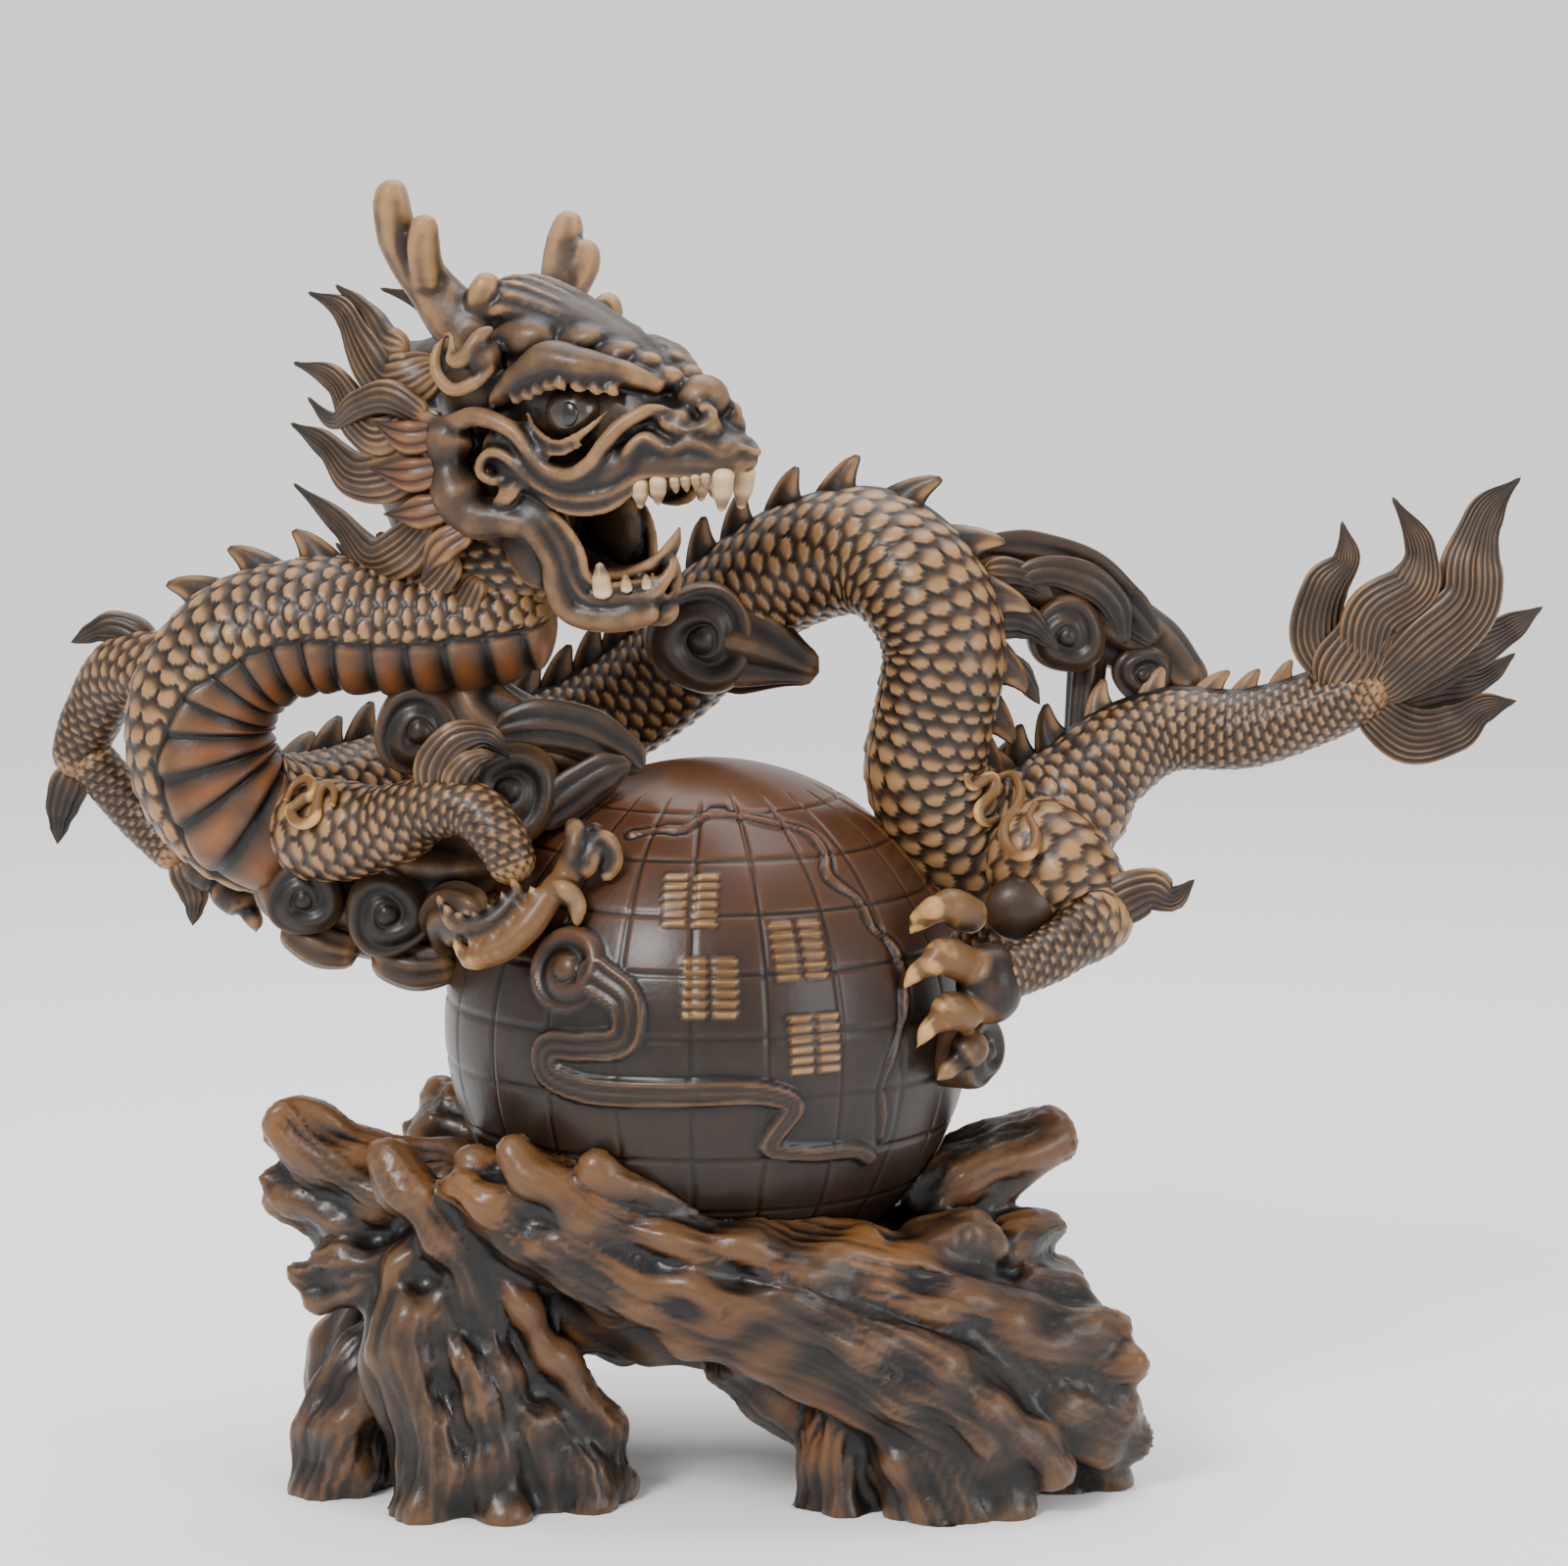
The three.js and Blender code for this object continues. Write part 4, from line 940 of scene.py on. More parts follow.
def fangs(row, height, count, half):
    """Small pointed teeth that stand up and to the left from a row of places."""
    places, _, _ = smooth_path(row, 1)
    roots = places[np.linspace(2, len(places) - 3, count).astype(int)]
    lean = np.array([-0.45, -0.1, 0.85]) * height
    return [stroke([root, root + lean * 0.5, root + lean], [half, half * 0.8, 0.5], around=14, spacing=0.7)
            for root in roots]


paws = [
    # the near front paw: its toothed frill, the gold band with its own teeth, and the fingers on the globe
    stroke(FRILL, [2.4, 3.6, 4, 4, 3.6, 2.8], around=20),
    stroke(GOLD_BAND, [3, 4.6, 5.2, 5.4, 5, 4.4], around=24),
    stroke([(-80, -58, 38), (-70, -62, 44), (-62, -62, 54)], [10, 9, 7], around=24),
    *fangs(GOLD_BAND[:5], 10, 6, 2.9), *fangs(FRILL, 7, 7, 2.2),
    stroke([(-50, -64, 60), (-45, -68, 70), (-44, -66, 77), (-46, -58, 80)], [4.6, 4.6, 4.4, 3], around=20),
    stroke([(-46, -66, 63), (-40, -69, 68), (-37.5, -66, 75), (-39, -58, 79)], [4, 4.2, 4.2, 3], around=20),
    stroke([(-40, -66, 76), (-34, -67, 75), (-31.5, -66, 68), (-35, -67, 61)], [3.4, 3.8, 3.6, 2.2],
           around=20),
    stroke([(-54, -66, 59), (-48, -72, 59), (-44, -73, 54), (-44, -72, 46)], [4.2, 4.4, 3.6, 1.6], around=20),
]
for palm, half, toes in (
    ([(-191, 34, 54), (-176, 28, 46)], [8, 8], [
        ((-180, 32, 48), (-166, 34, 50), (-158, 30, 38)), ((-180, 26, 46), (-168, 22, 38), (-164, 20, 28))]),
    ([(99, -46, 36), (99, -51, 22), (99, -49, 8)], [9, 12, 9], [
        ((97, -46, 44), (84, -54, 50), (70, -56, 40)), ((95, -52, 28), (82, -61, 34), (68, -63, 22)),
        ((95, -54, 12), (84, -63, 15), (73, -66, 2)), ((96, -50, 4), (90, -56, -2), (80, -62, -10))]),
    ([(88, 56, 28), (84, 60, 12)], [8, 8], [
        ((86, 54, 30), (74, 64, 38), (60, 76, 30)), ((84, 60, 12), (76, 70, 10), (64, 74, -2))]),
):
    paws += [stroke(palm, half, around=24), *[s for points in toes for s in toe(*points, half=6.2)]]
paws += [stroke(band, [2, 4.8, 2.4], around=20) for band in HIND_BANDS]
points, faces = fuse(paws, 1.0, 2)
near_gold = np.min([near_line(points, smooth_path(band, 2)[0])[0] for band in [GOLD_BAND, *HIND_BANDS]],
                   axis=0)
gilded = 0.85 * step(9.0 - near_gold, 0, 3.5)
make_piece("paws", (points, faces), bronze_brown, {"gilt": gilded})

# %% [markdown]
# ## Flames and clouds
# Tufts at the joints and the brush of the tail are locks like the mane. The clouds are discs with a ridge
# that winds out from a boss, set on rolling banks.

# %% Tufts, tail flames and clouds
flames = [
    lock([(222, 3, 116), (232, 0, 132), (240, -2, 148), (246, -3, 160)], 15, 11, around=84),
    lock([(226, 4, 122), (217, 3, 138), (220, 2, 156), (227, 0, 166), (225, -1, 180)], 10, 9, around=84),
    lock([(234, 0, 120), (236, -5, 146), (250, -8, 158), (252, -8, 171), (242, -6, 189)], 11, 9, around=84),
    lock([(236, 2, 118), (253, -3, 136), (269, -5, 152), (271, -4, 168), (277, 0, 184), (289, 4, 195)], 14,
         11, around=84),
    lock([(236, 4, 116), (262, 7, 130), (282, 9, 138), (299, 12, 148)], 11, 9, around=84),
    lock([(236, 4, 114), (259, 9, 119), (277, 12, 122), (290, 15, 131)], 8, 7, around=84),
    lock([(234, 3, 114), (251, 2, 103), (266, 0, 106), (276, -2, 113), (288, -4, 116)], 11, 9, around=84),
]
tufts = [
    lock([(-92, -46, 86), (-92, -50, 98), (-86, -52, 107), (-76, -50, 109), (-68, -46, 101)], 9, 6),
    lock([(-86, -50, 88), (-85, -54, 96), (-79, -55, 102), (-72, -52, 103)], 6, 4),
    lock([(-232, 49, 86), (-238, 51, 70), (-240, 50, 56)], 8, 5),
    lock([(-200, 30, 130), (-216, 34, 138), (-232, 38, 132)], 8, 5),
    lock([(-194, 36, 54), (-188, 34, 40), (-189, 36, 28)], 7, 5),
    lock([(138, -28, 42), (148, -29, 49), (157, -30, 52), (164, -30, 49), (172, -30, 56)], 9, 6),
    lock([(98, 14, 160), (113, 16, 158), (124, 14, 151)], 7, 5),
    lock([(98, 12, 144), (114, 14, 142), (126, 12, 132)], 8, 5),
    lock([(98, 8, 128), (111, 10, 124), (119, 8, 113)], 7, 5),
]
make_piece("tail_flames", join(flames), bronze_brown, carving_and_shade=0.05)
make_piece("tufts", join(tufts), bronze_brown)

CURLS = [
    # gilt curls laid on the shoulder and on the thigh, as (x, z)
    [(-148, 83), (-145, 89), (-140, 91), (-138, 87), (-142, 84), (-146, 80), (-142, 77), (-137, 79),
     (-136, 85),
     (-134, 90), (-130, 88), (-131, 83)],
    [(92, 92), (93, 87), (97, 88), (101, 90), (102, 85), (99, 82), (96, 78), (99, 74), (104, 76)],
    [(103, 88), (108, 90), (111, 86), (110, 80), (106, 75), (105, 69), (109, 65), (114, 66), (116, 72),
     (114, 77),
     (117, 82)],
]


def laid_on(curl, ground):
    """The curl on the plane that fits the foremost points of the ground, read at 3 mm round each place."""
    places = smooth_path([(x, 0, z) for x, z in curl], 1.5)[0]
    near = np.hypot(ground[:, 0, None] - places[:, 0], ground[:, 2, None] - places[:, 2]) < 3
    front = np.where(near, ground[:, 1, None], 60).min(axis=0)
    table = np.column_stack([places[:, 0], places[:, 2], np.ones(len(places))])
    plane = np.linalg.lstsq(table, front, rcond=None)[0]
    return np.column_stack([places[:, 0], table @ plane - 0.6, places[:, 2]])


def points_of(name):
    """The points of a piece that is already made, in millimetres from the globe's centre."""
    skin = bpy.data.objects[name].data
    flat = np.empty(len(skin.vertices) * 3, dtype=np.float32)
    skin.vertices.foreach_get("co", flat)
    return (flat.reshape(-1, 3) - CENTRE) / MM


ground = np.vstack([points_of(name) for name in ("legs", "body_front", "body_rear")])
curls = join([stroke(laid_on(curl, ground)[::2], [1.2, 2.1, 2.1, 1.2], flat=0.8, spacing=0.8, around=16)
              for curl in CURLS])
make_piece("gilt_curls", curls, bronze_brown, {"gilt": np.ones(len(curls[0]))})


def scroll(centre, radius, out=(0, -1, 0), turn=1, start=0.0, thick=0.5, turns=1.7):
    """A cloud scroll that looks along out: a thick disc whose face carries a winding ridge round a boss."""
    out = unit(np.array(out, dtype=float))
    right = unit(np.cross(out, (0, 0, 1))) * -1
    up = np.cross(out, right) * -1
    up = up if up[2] > 0 else -up
    rows, columns = 28, 60
    reach = np.linspace(0, 1, rows)[1:, None]
    angle = np.linspace(0, 2 * np.pi, columns, endpoint=False)[None, :]
    wind = np.mod(reach * turns - turn * (angle + start) / (2 * np.pi), 1)
    ridge = 0.5 + 0.5 * np.cos(2 * np.pi * wind)
    boss = np.sqrt(np.clip(1 - (reach / 0.26) ** 2, 0, 1))
    face = 0.13 * ridge ** 0.7 * step(reach, 0.2, 0.32) * step(1.02 - reach, 0, 0.1) + 0.2 * boss
    height = radius * (face + thick * 0.5 * np.sqrt(np.clip(1 - reach**6, 0, 1)))
    lobes = 1 + 0.05 * np.cos(3 * angle + start)
    front = np.stack([radius * reach * lobes * np.cos(angle), radius * reach * lobes * np.sin(angle),
                      height], -1)
    back = np.stack([front[..., 0], front[..., 1], np.full(height.shape, -radius * thick)], -1)[::-1]
    local = np.concatenate([front, back]).reshape(-1, 3)
    shape = close_ends((local, grid_faces(2 * (rows - 1), columns)), 2 * (rows - 1), columns)
    local = shape[0]
    points = np.array(centre) + local[:, :1] * right + local[:, 1:2] * up + local[:, 2:] * out
    return points, shape[1]


def roll(points, radius, **options):
    """A bank of cloud with soft ridges along it."""
    def relief(distance, angle, r):
        return 0.07 * r * np.cos(7 * angle + 0.03 * distance)
    return stroke(points, radius, **{"around": 44, "spacing": 2.2, "relief": relief, **options})


def leaf(points, width, thick=0.3, **options):
    """A flat lobe of cloud with a raised rim along both edges."""
    def relief(distance, angle, radius):
        veins = 0.05 * np.cos(9 * np.cos(angle) + 0.02 * distance)
        return radius * (0.14 * (np.cos(angle) ** 8 - 0.3) + veins)
    return stroke(points, width, **{"flat": thick, "around": 44, "spacing": 2.0, "relief": relief, **options})


clouds = [
    # behind the tail end of the arch
    roll([(92, 22, 158), (114, 32, 152), (136, 38, 143), (158, 36, 131), (178, 26, 114)],
         [11, 14, 16, 13, 8]),
    scroll((129, 18, 137), 14, start=2, thick=0.6),
    scroll((157, 24, 122), 11, start=4, turn=-1, thick=0.6),
    leaf([(96, 20, 168), (116, 22, 166), (136, 24, 158), (150, 24, 146), (162, 22, 134)], [5, 8, 9, 8, 4]),
    leaf([(104, 16, 150), (118, 14, 160), (134, 14, 158), (146, 16, 148), (150, 16, 134)], [3, 5, 6, 5, 2]),
    roll([(138, 34, 132), (134, 24, 84)], [7, 6]),
    # inside the coil, over the near leg
    scroll((-101, -14, 107), 17, start=1, thick=0.7),
    scroll((-69, -30, 87), 18, out=(0, -1, 0.2), start=4, turn=-1, thick=0.7),
    leaf([(-74, -26, 108), (-58, -26, 110), (-42, -26, 107), (-28, -28, 99), (-22, -30, 94)],
         [6, 9, 9, 7, 2.5]),
    leaf([(-60, -34, 76), (-48, -34, 86), (-36, -34, 94), (-26, -34, 98)], [5, 8, 7, 2.5]),
    roll([(-90, -4, 128), (-82, -10, 112), (-60, -14, 102), (-34, -16, 92)], [16, 16, 14, 7], flat=0.8),
    # in the hollow behind the near leg
    roll([(-116, -2, 56), (-92, -8, 58), (-70, -22, 60)], [15, 16, 13]),
    # under the shoulder
    scroll((-143, -16, 47), 14, start=1.5, thick=0.7),
    scroll((-113, -18, 42), 16, start=0, thick=0.7),
    roll([(-160, 2, 58), (-134, 2, 42), (-96, -4, 32)], [15, 16, 14]),
    roll([(-152, -8, 36), (-138, -10, 29), (-124, -10, 26)], [6, 8, 6]),
    roll([(-120, -10, 26), (-104, -12, 22), (-88, -14, 24)], [7, 9, 7]),
    roll([(-92, -6, 36), (-88, -32, 44), (-76, -50, 46)], [12, 11, 8]),
    # on the arch and over the globe
    scroll((-2, 16, 136), 20, start=3, thick=0.35),
    roll([(-18, 28, 134), (12, 20, 133), (40, 14, 124)], [14, 17, 6], flat=0.55),
    scroll((94, -42, -3), 14, out=(0.86, -0.5, 0), start=1, thick=0.8),
    ball((111, -27, 45), (13, 8, 12)),
]
# the clouds' rub is dropped by 0.1 all over: a painted shade, as they sit in the hollows under the body and
# limbs
make_piece("clouds", join(clouds), bronze_brown, carving_and_shade=-0.1)

# the neck, which drops from the mane into the first turn of the body
neck, crest = scaled_stroke([(-76, -14, 186), (-72, -14, 166), (-74, -14, 148)], [21, 21, 20], 18, 1.5,
                            around=132, spacing=1.05)
make_piece("neck", neck, bronze_brown, carving_and_shade=crest)

# %% [markdown]
# ## The globe
# The ball is a grid of longitudes and latitudes, closer together at the front where its carving is.
# Elsewhere they gather beside each engraved line. Every mark is a height: engraved lines all round, and on
# the front the raised coast of a map, a cloud ribbon and rows of gilt dashes.


# %% The globe's carving
def on_globe(longitude, latitude, radius=GLOBE_RADIUS):
    a, b = np.radians(longitude), np.radians(latitude)
    return radius * np.stack([np.cos(b) * np.sin(a), -np.cos(b) * np.cos(a), np.sin(b)], axis=-1)


def seated(line):
    """Puts measured places exactly on the ball."""
    return unit(np.array(line, dtype=float)) * GLOBE_RADIUS


LINES_WAY = {"first": -2.6, "step": 360 / 22}
LATITUDES = [-48, -34, -20.5, -6.5, 6.5, 19.8, 33, 46, 60]
COAST = [(-26, -51, 75), (-16, -52, 77), (-7, -54, 78), (1, -47, 82), (13, -47, 81), (22, -47, 79),
         (36, -45, 75),
         (42, -50, 68), (43, -58, 62), (54, -57, 53), (58, -60, 44), (66, -57, 36), (69, -63, 14),
         (66, -68, 2),
         (61, -71, -10), (62, -69, -20), (61, -66, -29)]
RIBBON = [(-25, 19), (-17, 14), (-17, 6), (-26, 4), (-35, 3), (-35, -2), (-26, -5), (-8, -5), (12, -5),
          (19, -8),
          (16, -13), (14, -17), (22, -19), (36, -20), (40, -22)]
CURL = (-32, 20)
MARKS = [(-5, -76, 56), (2, -90, 28), (33, -81, 40), (38, -86, 8)]


def spread(edges, fine):
    """Longitudes round the ball: fine steps between the edges, and six to each engraved line outside."""
    inside = np.arange(edges[0], edges[1], fine)
    lines = np.arange(LINES_WAY["first"], edges[0] + 360, LINES_WAY["step"])
    beside = np.array([-0.9, -0.4, 0, 0.4, 0.9, LINES_WAY["step"] / 2])
    outside = (lines[:, None] + beside).ravel()
    return np.concatenate([inside, outside[(outside > edges[1]) & (outside < edges[0] + 360)]])


def swirl(across, up, radius, turns=1.6, ridge=1.0):
    """Height of a cloud scroll in its own plane: a disc, a boss, and a ridge that winds out from the boss."""
    rho, phi = np.hypot(across, up), np.arctan2(up, across)
    disc = step(radius - rho, 0, 1.6)
    wind = np.mod(rho / radius * turns - phi / (2 * np.pi), 1)
    winding = np.cos(2 * np.pi * wind) * step(rho, radius * 0.22, radius * 0.4)
    boss = np.sqrt(np.clip(1 - (rho / (radius * 0.3)) ** 2, 0, 1))
    return disc * (1.6 + ridge * winding + 2.2 * boss)


def globe_shape(quick):
    fine = 1.3 if quick else 0.72
    longitude = spread((-72, 78), fine)
    latitude = np.concatenate([np.linspace(-88, -52, 12), np.arange(-50, 62, fine), np.linspace(64, 88, 14)])
    b, a = np.meshgrid(latitude, longitude, indexing="ij")
    ground = on_globe(a, b).reshape(-1, 3)
    a, b = a.ravel(), b.ravel()
    # engraved lines, of which those that run north fade out before they crowd together at the top
    east = (a - LINES_WAY["first"] + LINES_WAY["step"] / 2) % LINES_WAY["step"] - LINES_WAY["step"] / 2
    off = np.radians(np.abs(east)) * GLOBE_RADIUS * np.cos(np.radians(b)) + 3 * step(b, 62, 72)
    for line in LATITUDES:
        off = np.minimum(off, np.radians(np.abs(b - line)) * GLOBE_RADIUS)
    height = -0.9 * np.exp(-((off / 0.6) ** 2)) * step(b, -60, -50)
    # the coast of the map, with small bays
    coast, where = near_line(ground, seated(smooth_path(COAST, 4.0)[0]))
    coast = np.abs(coast + 0.7 * np.sin(where * 0.23) * np.sin(where * 0.11 + 1))
    height += 1.1 * np.exp(-((coast / 1.0) ** 2)) - 0.7 * np.exp(-(((coast - 2.2) / 0.8) ** 2))
    # the ribbon, with rolled edges
    centreline = on_globe(*np.array(smooth_path([(x, y, 0) for x, y in RIBBON], 1.5)[0]).T[:2])
    away, gone = near_line(ground, centreline)
    half = np.interp(gone, [0, 40, 130, 190], [6.5, 5.2, 4.6, 3.0])
    band = step(half - away, -0.6, 0.8)
    rolled = np.exp(-(((away - half + 1.3) / 0.9) ** 2)) + 0.6 * np.exp(-((away / 0.9) ** 2))
    height = height * (1 - band) + band * 1.5 + 1.1 * rolled * step(half + 1 - away, 0, 1)
    # the scroll that the ribbon flows from
    out = unit(on_globe(*CURL))
    right = unit(np.cross((0, 0, 1), -out)) * -1
    up = np.cross(out, right)
    middle = ground - out * GLOBE_RADIUS
    local = swirl(middle @ right, middle @ up, 15.5)
    height = np.where((local > 0.05) & (ground @ out > 0), np.maximum(height, local), height)
    # four blocks of raised gilt dashes, in even rows
    gilt = np.zeros(len(ground))
    for spot in seated(MARKS):
        out = unit(spot)
        right = unit(np.cross(out, (0, 0, 1))) * -1
        right = right if right[0] > 0 else -right
        up = np.cross(right, out)
        up = up if up[2] > 0 else -up
        x, y = (ground - spot) @ right, (ground - spot) @ up
        for level in np.linspace(-9, 9, 6):
            for side in (-5.2, 5.2):
                bar = np.hypot(np.maximum(np.abs(x - side) - 3.2, 0), y - level)
                gilt = np.maximum(gilt, step(1.2 - bar, -0.3, 0.4) * (ground @ out > 0))
    height = height + 0.8 * gilt
    points = ground + unit(ground) * height[:, None]
    rows, columns = len(latitude), len(longitude)
    shape = close_ends((points, grid_faces(rows, columns)), rows, columns)
    warm = step(ground[:, 2], 10, 80) * 0.7
    return shape, {"gilt": np.append(gilt, [0, 0]), "tint": np.append(warm, [0, 0])}


shape, masks = globe_shape(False)
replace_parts(make_piece("globe_ball", shape, globe_brown, masks), "globe")

# %% [markdown]
# ## The root-wood stand
# The stand is laid out in three layers. Roots give the mass. Ridges are the long rolls that the eye follows
# over the front. Strands wind round each root, as weathered wood shows. All are fused, set flat on the
# floor and pushed clear of the globe. Each point also learns how far along its stroke it lies and how far
# round, which lets the grain follow the wood.

# %% The roots and ridges
ROOTS = [
    # the log across the front, under the globe: its lower and its upper half
    ([(-92, -58, -44), (-62, -66, -58), (-20, -68, -76), (24, -68, -90), (64, -66, -112), (94, -62, -134),
      (104, -58, -162)], [12, 21, 25, 26, 26, 24, 22]),
    ([(-70, -64, -36), (-20, -68, -60), (30, -66, -76), (76, -58, -88), (122, -46, -106), (152, -38, -113)],
     [11, 18, 20, 20, 17, 14]),
    # broken branches on the left
    ([(-90, -34, -62), (-128, -34, -46), (-154, -34, -27)], [21, 15, 11]),
    ([(-92, -30, -76), (-128, -28, -66), (-158, -26, -53)], [18, 13, 9]),
    ([(-90, -44, -80), (-118, -42, -84), (-142, -38, -84)], [20, 15, 12]),
    ([(-70, 20, -60), (-106, 14, -34)], [26, 15]),
    # left feet
    ([(-84, -42, -66), (-102, -52, -100), (-95, -56, -132), (-90, -58, -172)], [26, 20, 20, 24]),
    ([(-80, -48, -66), (-74, -50, -104), (-60, -50, -134), (-52, -50, -172)], [22, 20, 21, 22]),
    ([(-94, -28, -104), (-124, -32, -130), (-133, -34, -172)], [20, 17, 20]),
    ([(-86, -6, -76), (-128, -8, -122), (-124, -4, -172)], [26, 15, 18]),
    ([(-60, 6, -96), (-16, 6, -104)], [32, 18]),
    ([(-56, 36, -80), (-76, 56, -126), (-84, 62, -172)], [32, 24, 28]),
    # broken branches on the right
    ([(70, -10, -68), (100, -8, -52), (130, 2, -41)], [24, 16, 12]),
    ([(80, -28, -86), (106, -22, -79), (130, -14, -72)], [24, 14, 5]),
    ([(90, -28, -98), (116, -24, -98), (138, -22, -102)], [26, 19, 15]),
    ([(84, -48, -108), (126, -44, -132), (150, -34, -144)], [26, 19, 16]),
    # right feet
    ([(96, -28, -118), (120, -26, -146), (140, -22, -172)], [30, 24, 19]),
    ([(62, -46, -100), (50, -52, -132), (50, -54, -172)], [28, 18, 19]),
    ([(5, -60, -106), (20, -50, -122), (38, -44, -142)], [12, 12, 10]),
    ([(58, -56, -122), (76, -62, -140), (92, -62, -172)], [18, 22, 24]),
    ([(60, 36, -84), (88, 58, -130), (96, 60, -172)], [32, 24, 28]),
]
RIDGES = [
    # over the log, from the broken tips at the upper left to the stubs and feet at the right
    ([(-92, -70, -44), (-80, -76, -48), (-60, -80, -62), (-36, -82, -76), (-12, -82, -87), (20, -80, -101),
      (55, -78, -115), (82, -74, -133), (102, -70, -147), (108, -66, -168)], [5, 8, 8, 7, 7, 8, 8, 9, 9, 10]),
    ([(-72, -76, -30), (-58, -80, -38), (-40, -83, -52), (-18, -83, -60), (-2, -83, -63), (23, -80, -72),
      (49, -76, -77), (73, -68, -85), (97, -62, -98), (122, -54, -106), (139, -48, -115), (155, -42, -112)],
     [6, 8, 9, 8, 8, 8, 8, 8, 8, 8, 9, 11]),
    ([(-44, -84, -35), (-34, -84, -38), (-20, -82, -45), (-4, -80, -53), (5, -78, -59), (23, -75, -67),
      (41, -71, -69), (52, -67, -67), (62, -63, -62)], [4, 6.5, 5, 4, 5, 5, 5, 6, 5]),
    ([(-50, -78, -60), (-20, -82, -72), (0, -85, -76), (18, -86, -84), (45, -84, -90), (70, -82, -102),
      (89, -78, -116), (106, -76, -130), (118, -71, -140), (122, -66, -154)],
     [5, 6, 6, 7, 7, 8, 8, 8, 9, 10]),
    ([(48, -80, -98), (66, -78, -112), (84, -76, -128), (100, -72, -140), (114, -66, -154)], [4, 6, 6, 6, 5]),
    ([(10, -76, -104), (30, -76, -112), (52, -74, -122), (78, -72, -140), (92, -68, -154), (94, -66, -170)],
     [5, 7, 8, 8, 9, 10]),
    # the root with the eye knot, which runs down into the left foot
    ([(-119, -56, -32), (-108, -62, -42), (-95, -66, -60), (-84, -67, -78), (-79, -64, -97), (-72, -63, -116),
      (-57, -62, -131), (-44, -60, -147), (-42, -58, -170)], [5, 10, 9, 7, 7, 8, 9, 10, 12]),
    ([(-84, -62, -70), (-66, -66, -84), (-58, -62, -104), (-44, -60, -122), (-36, -52, -140),
      (-36, -48, -170)],
     [5, 6, 6, 6, 9, 12]),
    ([(-102, -64, -80), (-106, -68, -98), (-99, -68, -121), (-95, -70, -143), (-96, -70, -170)],
     [6, 8, 9, 11, 12]),
    ([(-92, -66, -88), (-84, -70, -112), (-74, -72, -140), (-70, -72, -170)], [5, 7, 9, 12]),
    ([(-98, -52, -78), (-124, -48, -86), (-138, -44, -90), (-146, -40, -80)], [6, 8, 7, 5]),
    ([(-104, -48, -108), (-121, -44, -128), (-132, -44, -148), (-134, -42, -170)], [5, 8, 11, 13]),
    ([(-98, -46, -52), (-122, -46, -50), (-140, -42, -38), (-156, -38, -24)], [6, 7, 8, 9]),
    ([(-100, -40, -66), (-128, -38, -64), (-148, -32, -58), (-162, -28, -50)], [6, 7, 6, 5]),
    # the right side
    ([(82, -66, -104), (106, -60, -118), (128, -50, -130), (148, -40, -143), (158, -34, -150)],
     [5, 8, 9, 9, 8]),
    ([(90, -62, -126), (112, -52, -142), (136, -38, -154), (146, -32, -170)], [5, 7, 8, 10]),
    ([(100, -48, -98), (118, -40, -90), (132, -34, -93), (138, -30, -106)], [5, 8, 8, 7]),
    ([(78, -46, -88), (100, -38, -80), (116, -28, -75), (131, -18, -71)], [6, 7, 6, 3.5]),
    ([(76, -26, -64), (96, -20, -52), (113, -10, -46), (131, 0, -40)], [7, 9, 10, 11]),
    ([(54, -64, -112), (42, -62, -130), (38, -60, -148), (40, -58, -170)], [6, 6, 7, 9]),
]
KNOTS = [
    # [centre, reach of the rings, spacing of the rings]
    ((-104, -74, -44), 9, 3.6), ((92, -60, -66), 9, 3.4), ((-98, -78, -88), 8, 3.2),
    ((-76, -86, -134), 10, 3.6),
    ((131, -14, -44), 8, 3.2), ((8, -94, -84), 5, 3.0), ((64, -90, -108), 7, 3.2),
]
TIPS = [(-156, -38, -24), (131, 0, -40), (-92, -74, -44), (-72, -80, -30), (-44, -88, -35), (-119, -58, -32),
        (62, -66, -62), (155, -42, -112), (40, -66, -132)]


def root_bundle(path, radius, rng):
    """A core of 0.88 of the root's radius and eight strands that wind round it."""
    shapes = [stroke(path, [0.88 * r for r in radius], spacing=4, around=28, ends=(0.9, 0.5))]
    middle, number, distance = smooth_path(path, 5)
    r = eased(radius, number, len(path) - 1)
    _, thin, across = frames_along(middle, (0.2, -1, 0.1))
    for k in range(8):
        angle = 2 * np.pi * (k + rng.uniform(-0.3, 0.3)) / 8 + distance * rng.uniform(-0.004, 0.012)
        wander = 1 + 0.07 * np.sin(distance * rng.uniform(0.04, 0.09) + rng.uniform(0, 6))
        reach = (0.76 * r * wander)[:, None]
        strand = middle + reach * (across * np.cos(angle)[:, None] + thin * np.sin(angle)[:, None])
        own = rng.uniform(0.2, 0.34)
        shapes.append(stroke(strand[:: max(len(strand) // 7, 1)], [own * r[0], own * r.mean(), own * r[-1]],
                             spacing=4, around=14, ends=(0.9, 0.9)))
    return shapes


def root_flow(points, strokes):
    """For each point: the distance along its nearest stroke and the distance round it."""
    best = np.full(len(points), 1e9)
    along_it, round_it = np.zeros(len(points)), np.zeros(len(points))
    for k, (path, radius) in enumerate(strokes):
        middle, number, distance = smooth_path(path, 8)
        r = eased(radius, number, len(path) - 1)
        along, thin, across = frames_along(middle, (0.2, -1, 0.1))
        for i in range(len(middle)):
            off = points - middle[i]
            gap = np.linalg.norm(off, axis=1) - r[i]
            near = gap < best
            best = np.where(near, gap, best)
            along_it = np.where(near, distance[i] + off @ along[i] + 97 * k, along_it)
            round_it = np.where(near, np.arctan2(off @ thin[i], off @ across[i]) * r[i] + 31 * k, round_it)
    return along_it, round_it


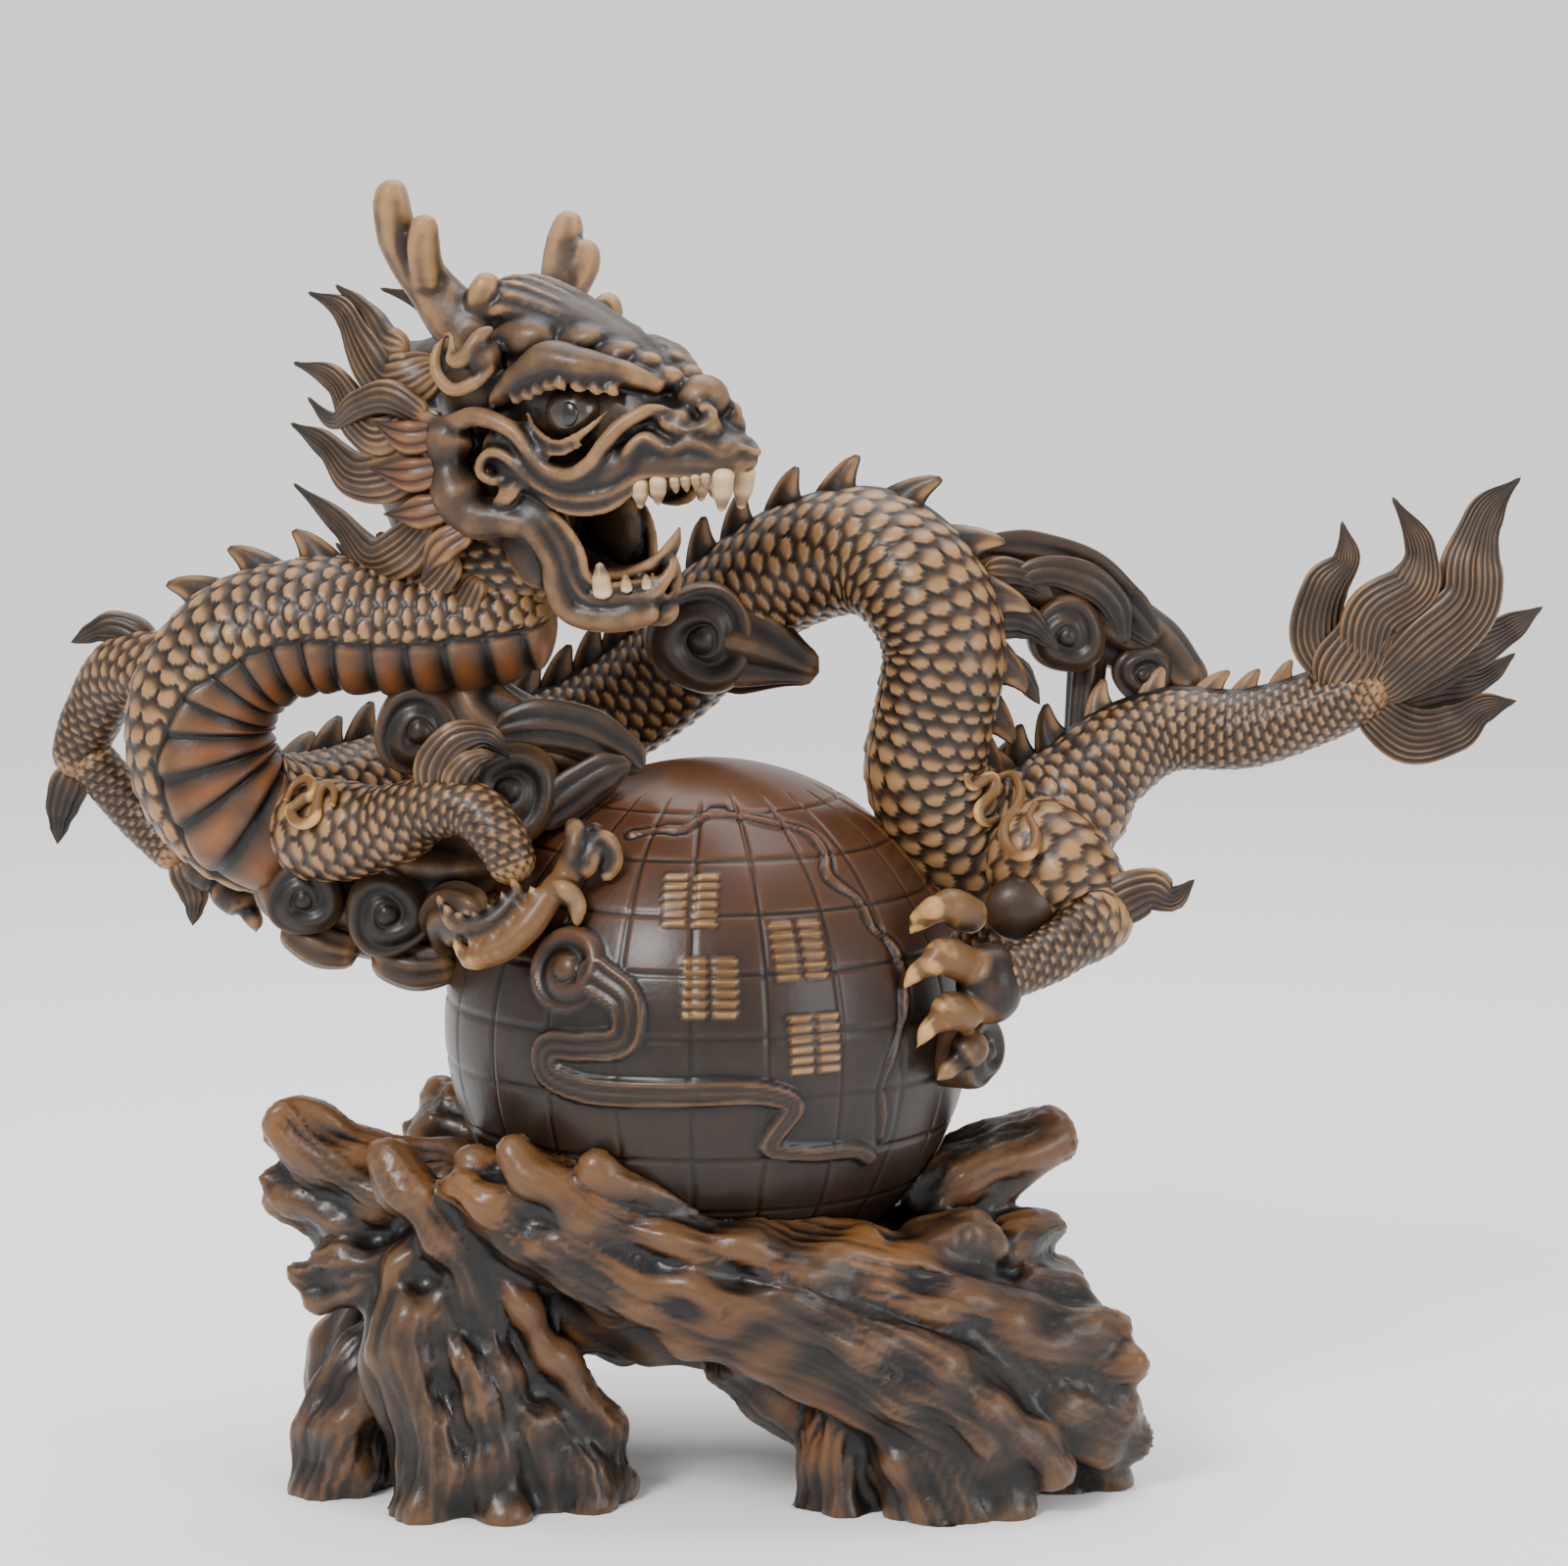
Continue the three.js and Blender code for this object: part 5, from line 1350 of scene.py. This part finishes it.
def ring_relief(points):
    """Height of the rings round each knot: a ripple that fades towards its reach, and a pit inside it."""
    height = np.zeros(len(points))
    for centre, reach, spacing in KNOTS:
        rho = np.linalg.norm(points - centre, axis=1)
        fade = step(1 - rho / reach, 0, 0.5)
        ripple = 0.7 * np.cos(2 * np.pi * rho / spacing)
        height += fade * (ripple - 1.6 * np.exp(-((rho / spacing / 0.4) ** 2)))
    return height


def gnarls(points, rng, count=12, height=0.55):
    """Lumps of weathered wood: a sum of sine waves 18 to 45 mm long, each with its own way and phase."""
    way = unit(rng.normal(size=(count, 3))) * (2 * np.pi / rng.uniform(18, 45, count))[:, None]
    return height * np.sin(points @ way.T + rng.uniform(0, 2 * np.pi, count)).sum(axis=1)


def seat_and_flatten(points, gap=0.4):
    """Pushes points out of the globe to its bed, and lifts what is under the floor onto it."""
    distance, bed = np.linalg.norm(points, axis=1, keepdims=True), GLOBE_RADIUS + gap
    points = np.where(distance < bed, points * bed / np.maximum(distance, 1), points)
    return np.column_stack([points[:, :2], np.maximum(points[:, 2], FLOOR)])


rng = np.random.default_rng(7)
wood = [s for path, radius in ROOTS for s in root_bundle(path, radius, rng)]
wood += [stroke(path, radius, spacing=3, around=20, ends=(0.9, 0.7)) for path, radius in RIDGES]
wood += [ball((0, -4, -92), (112, 62, 30)), ball((86, -44, -72), (20, 14, 13))]
points, faces = fuse(wood, 2.1, 2)
along_it, round_it = root_flow(points, RIDGES + ROOTS)
swell = 0.6 + 0.4 * np.sin(along_it * 0.05 + round_it * 0.11)
furrow = swell * np.sin(round_it * 1.15 + 1.2 * np.sin(along_it * 0.04))
rise = 0.5 * furrow + ring_relief(points) + gnarls(points, rng)
points = seat_and_flatten(points + point_normals(points, faces) * rise[:, None])
tipped = sum(np.exp(-(np.linalg.norm(points - tip, axis=1) / 15) ** 2) for tip in TIPS)
warm = 0.5 * step(np.sin(along_it * 0.031 + round_it * 0.05), 0.0, 0.9) * step(points[:, 2], -150, -60)
stand = make_piece("stand_wood", (points, faces), root_brown, {
    "along": along_it, "around": round_it, "tint": np.clip(warm + 0.8 * tipped, 0, 1),
})
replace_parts(stand, "root_stand")

# %% [markdown]
# ## The studio
# A pale sweep of paper runs under the piece and up behind it. Large soft lights stand to the left, the
# right and overhead. The camera looks at the piece from a little above.

# %% Floor, lights and camera
def sweep_paper():
    """A floor that curves up into a back wall."""
    a = np.linspace(0, np.pi / 2, 16)
    y = np.concatenate([[-4], 2.0 + np.sin(a), [3.0]])
    z = np.concatenate([[0], 1 - np.cos(a), [5]])
    x = np.array([-5, 5])
    points = np.stack([np.tile(x, len(y)), np.repeat(y, 2), np.repeat(z, 2)], axis=-1)
    faces = grid_faces(len(y), 2, wrap=False)[:, ::-1]
    mesh = bpy.data.meshes.new("paper")
    fill_mesh(mesh, points.astype(float), faces)
    paper = bpy.data.objects.new("paper", mesh)
    bpy.context.scene.collection.objects.link(paper)
    return paper


paper_white = bpy.data.materials.new("paper_white")
paper_white.use_nodes = True
principled = paper_white.node_tree.nodes["Principled BSDF"]
principled.inputs["Base Color"].default_value = (0.93, 0.93, 0.93, 1)
principled.inputs["Roughness"].default_value = 0.9
sweep_paper().data.materials.append(paper_white)


def soft_light(name, place, size, power):
    """A square area light that faces the middle of the piece."""
    data = bpy.data.lights.new(name, "AREA")
    data.size, data.energy = size, power
    light = bpy.data.objects.new(name, data)
    bpy.context.scene.collection.objects.link(light)
    aim_at(light, np.array(place), CENTRE + np.array([0, 0, 0.04]))
    return light


def aim_at(thing, place, target):
    """Turns -Z of a light or camera from place towards target, with Y up."""
    back = unit(place - target)
    right = unit(np.cross((0, 0, 1), back))
    up = np.cross(back, right)
    rows = np.column_stack([right, up, back, place])
    thing.matrix_world = Matrix([*rows.tolist(), [0, 0, 0, 1]])


soft_light("key", (-0.9, -1.4, 1.5), 0.6, 40)
soft_light("fill", (1.5, -1.2, 0.7), 0.9, 15)
soft_light("top", (0.1, 0.4, 1.7), 1.4, 26)
world = bpy.data.worlds.new("studio")
world.use_nodes = True
world.node_tree.nodes["Background"].inputs[0].default_value = (1, 1, 1, 1)
world.node_tree.nodes["Background"].inputs[1].default_value = 0.9
bpy.context.scene.world = world

ELEVATION, DISTANCE = np.radians(8), 1.8
target = CENTRE + np.array([27.3, 0, 85.9]) * MM
lens = bpy.data.cameras.new("camera")
lens.sensor_width, lens.lens = 36, 115.7
camera = bpy.data.objects.new("camera", lens)
bpy.context.scene.collection.objects.link(camera)
aim_at(camera, target + DISTANCE * np.array([0, -np.cos(ELEVATION), np.sin(ELEVATION)]), target)
bpy.context.scene.camera = camera
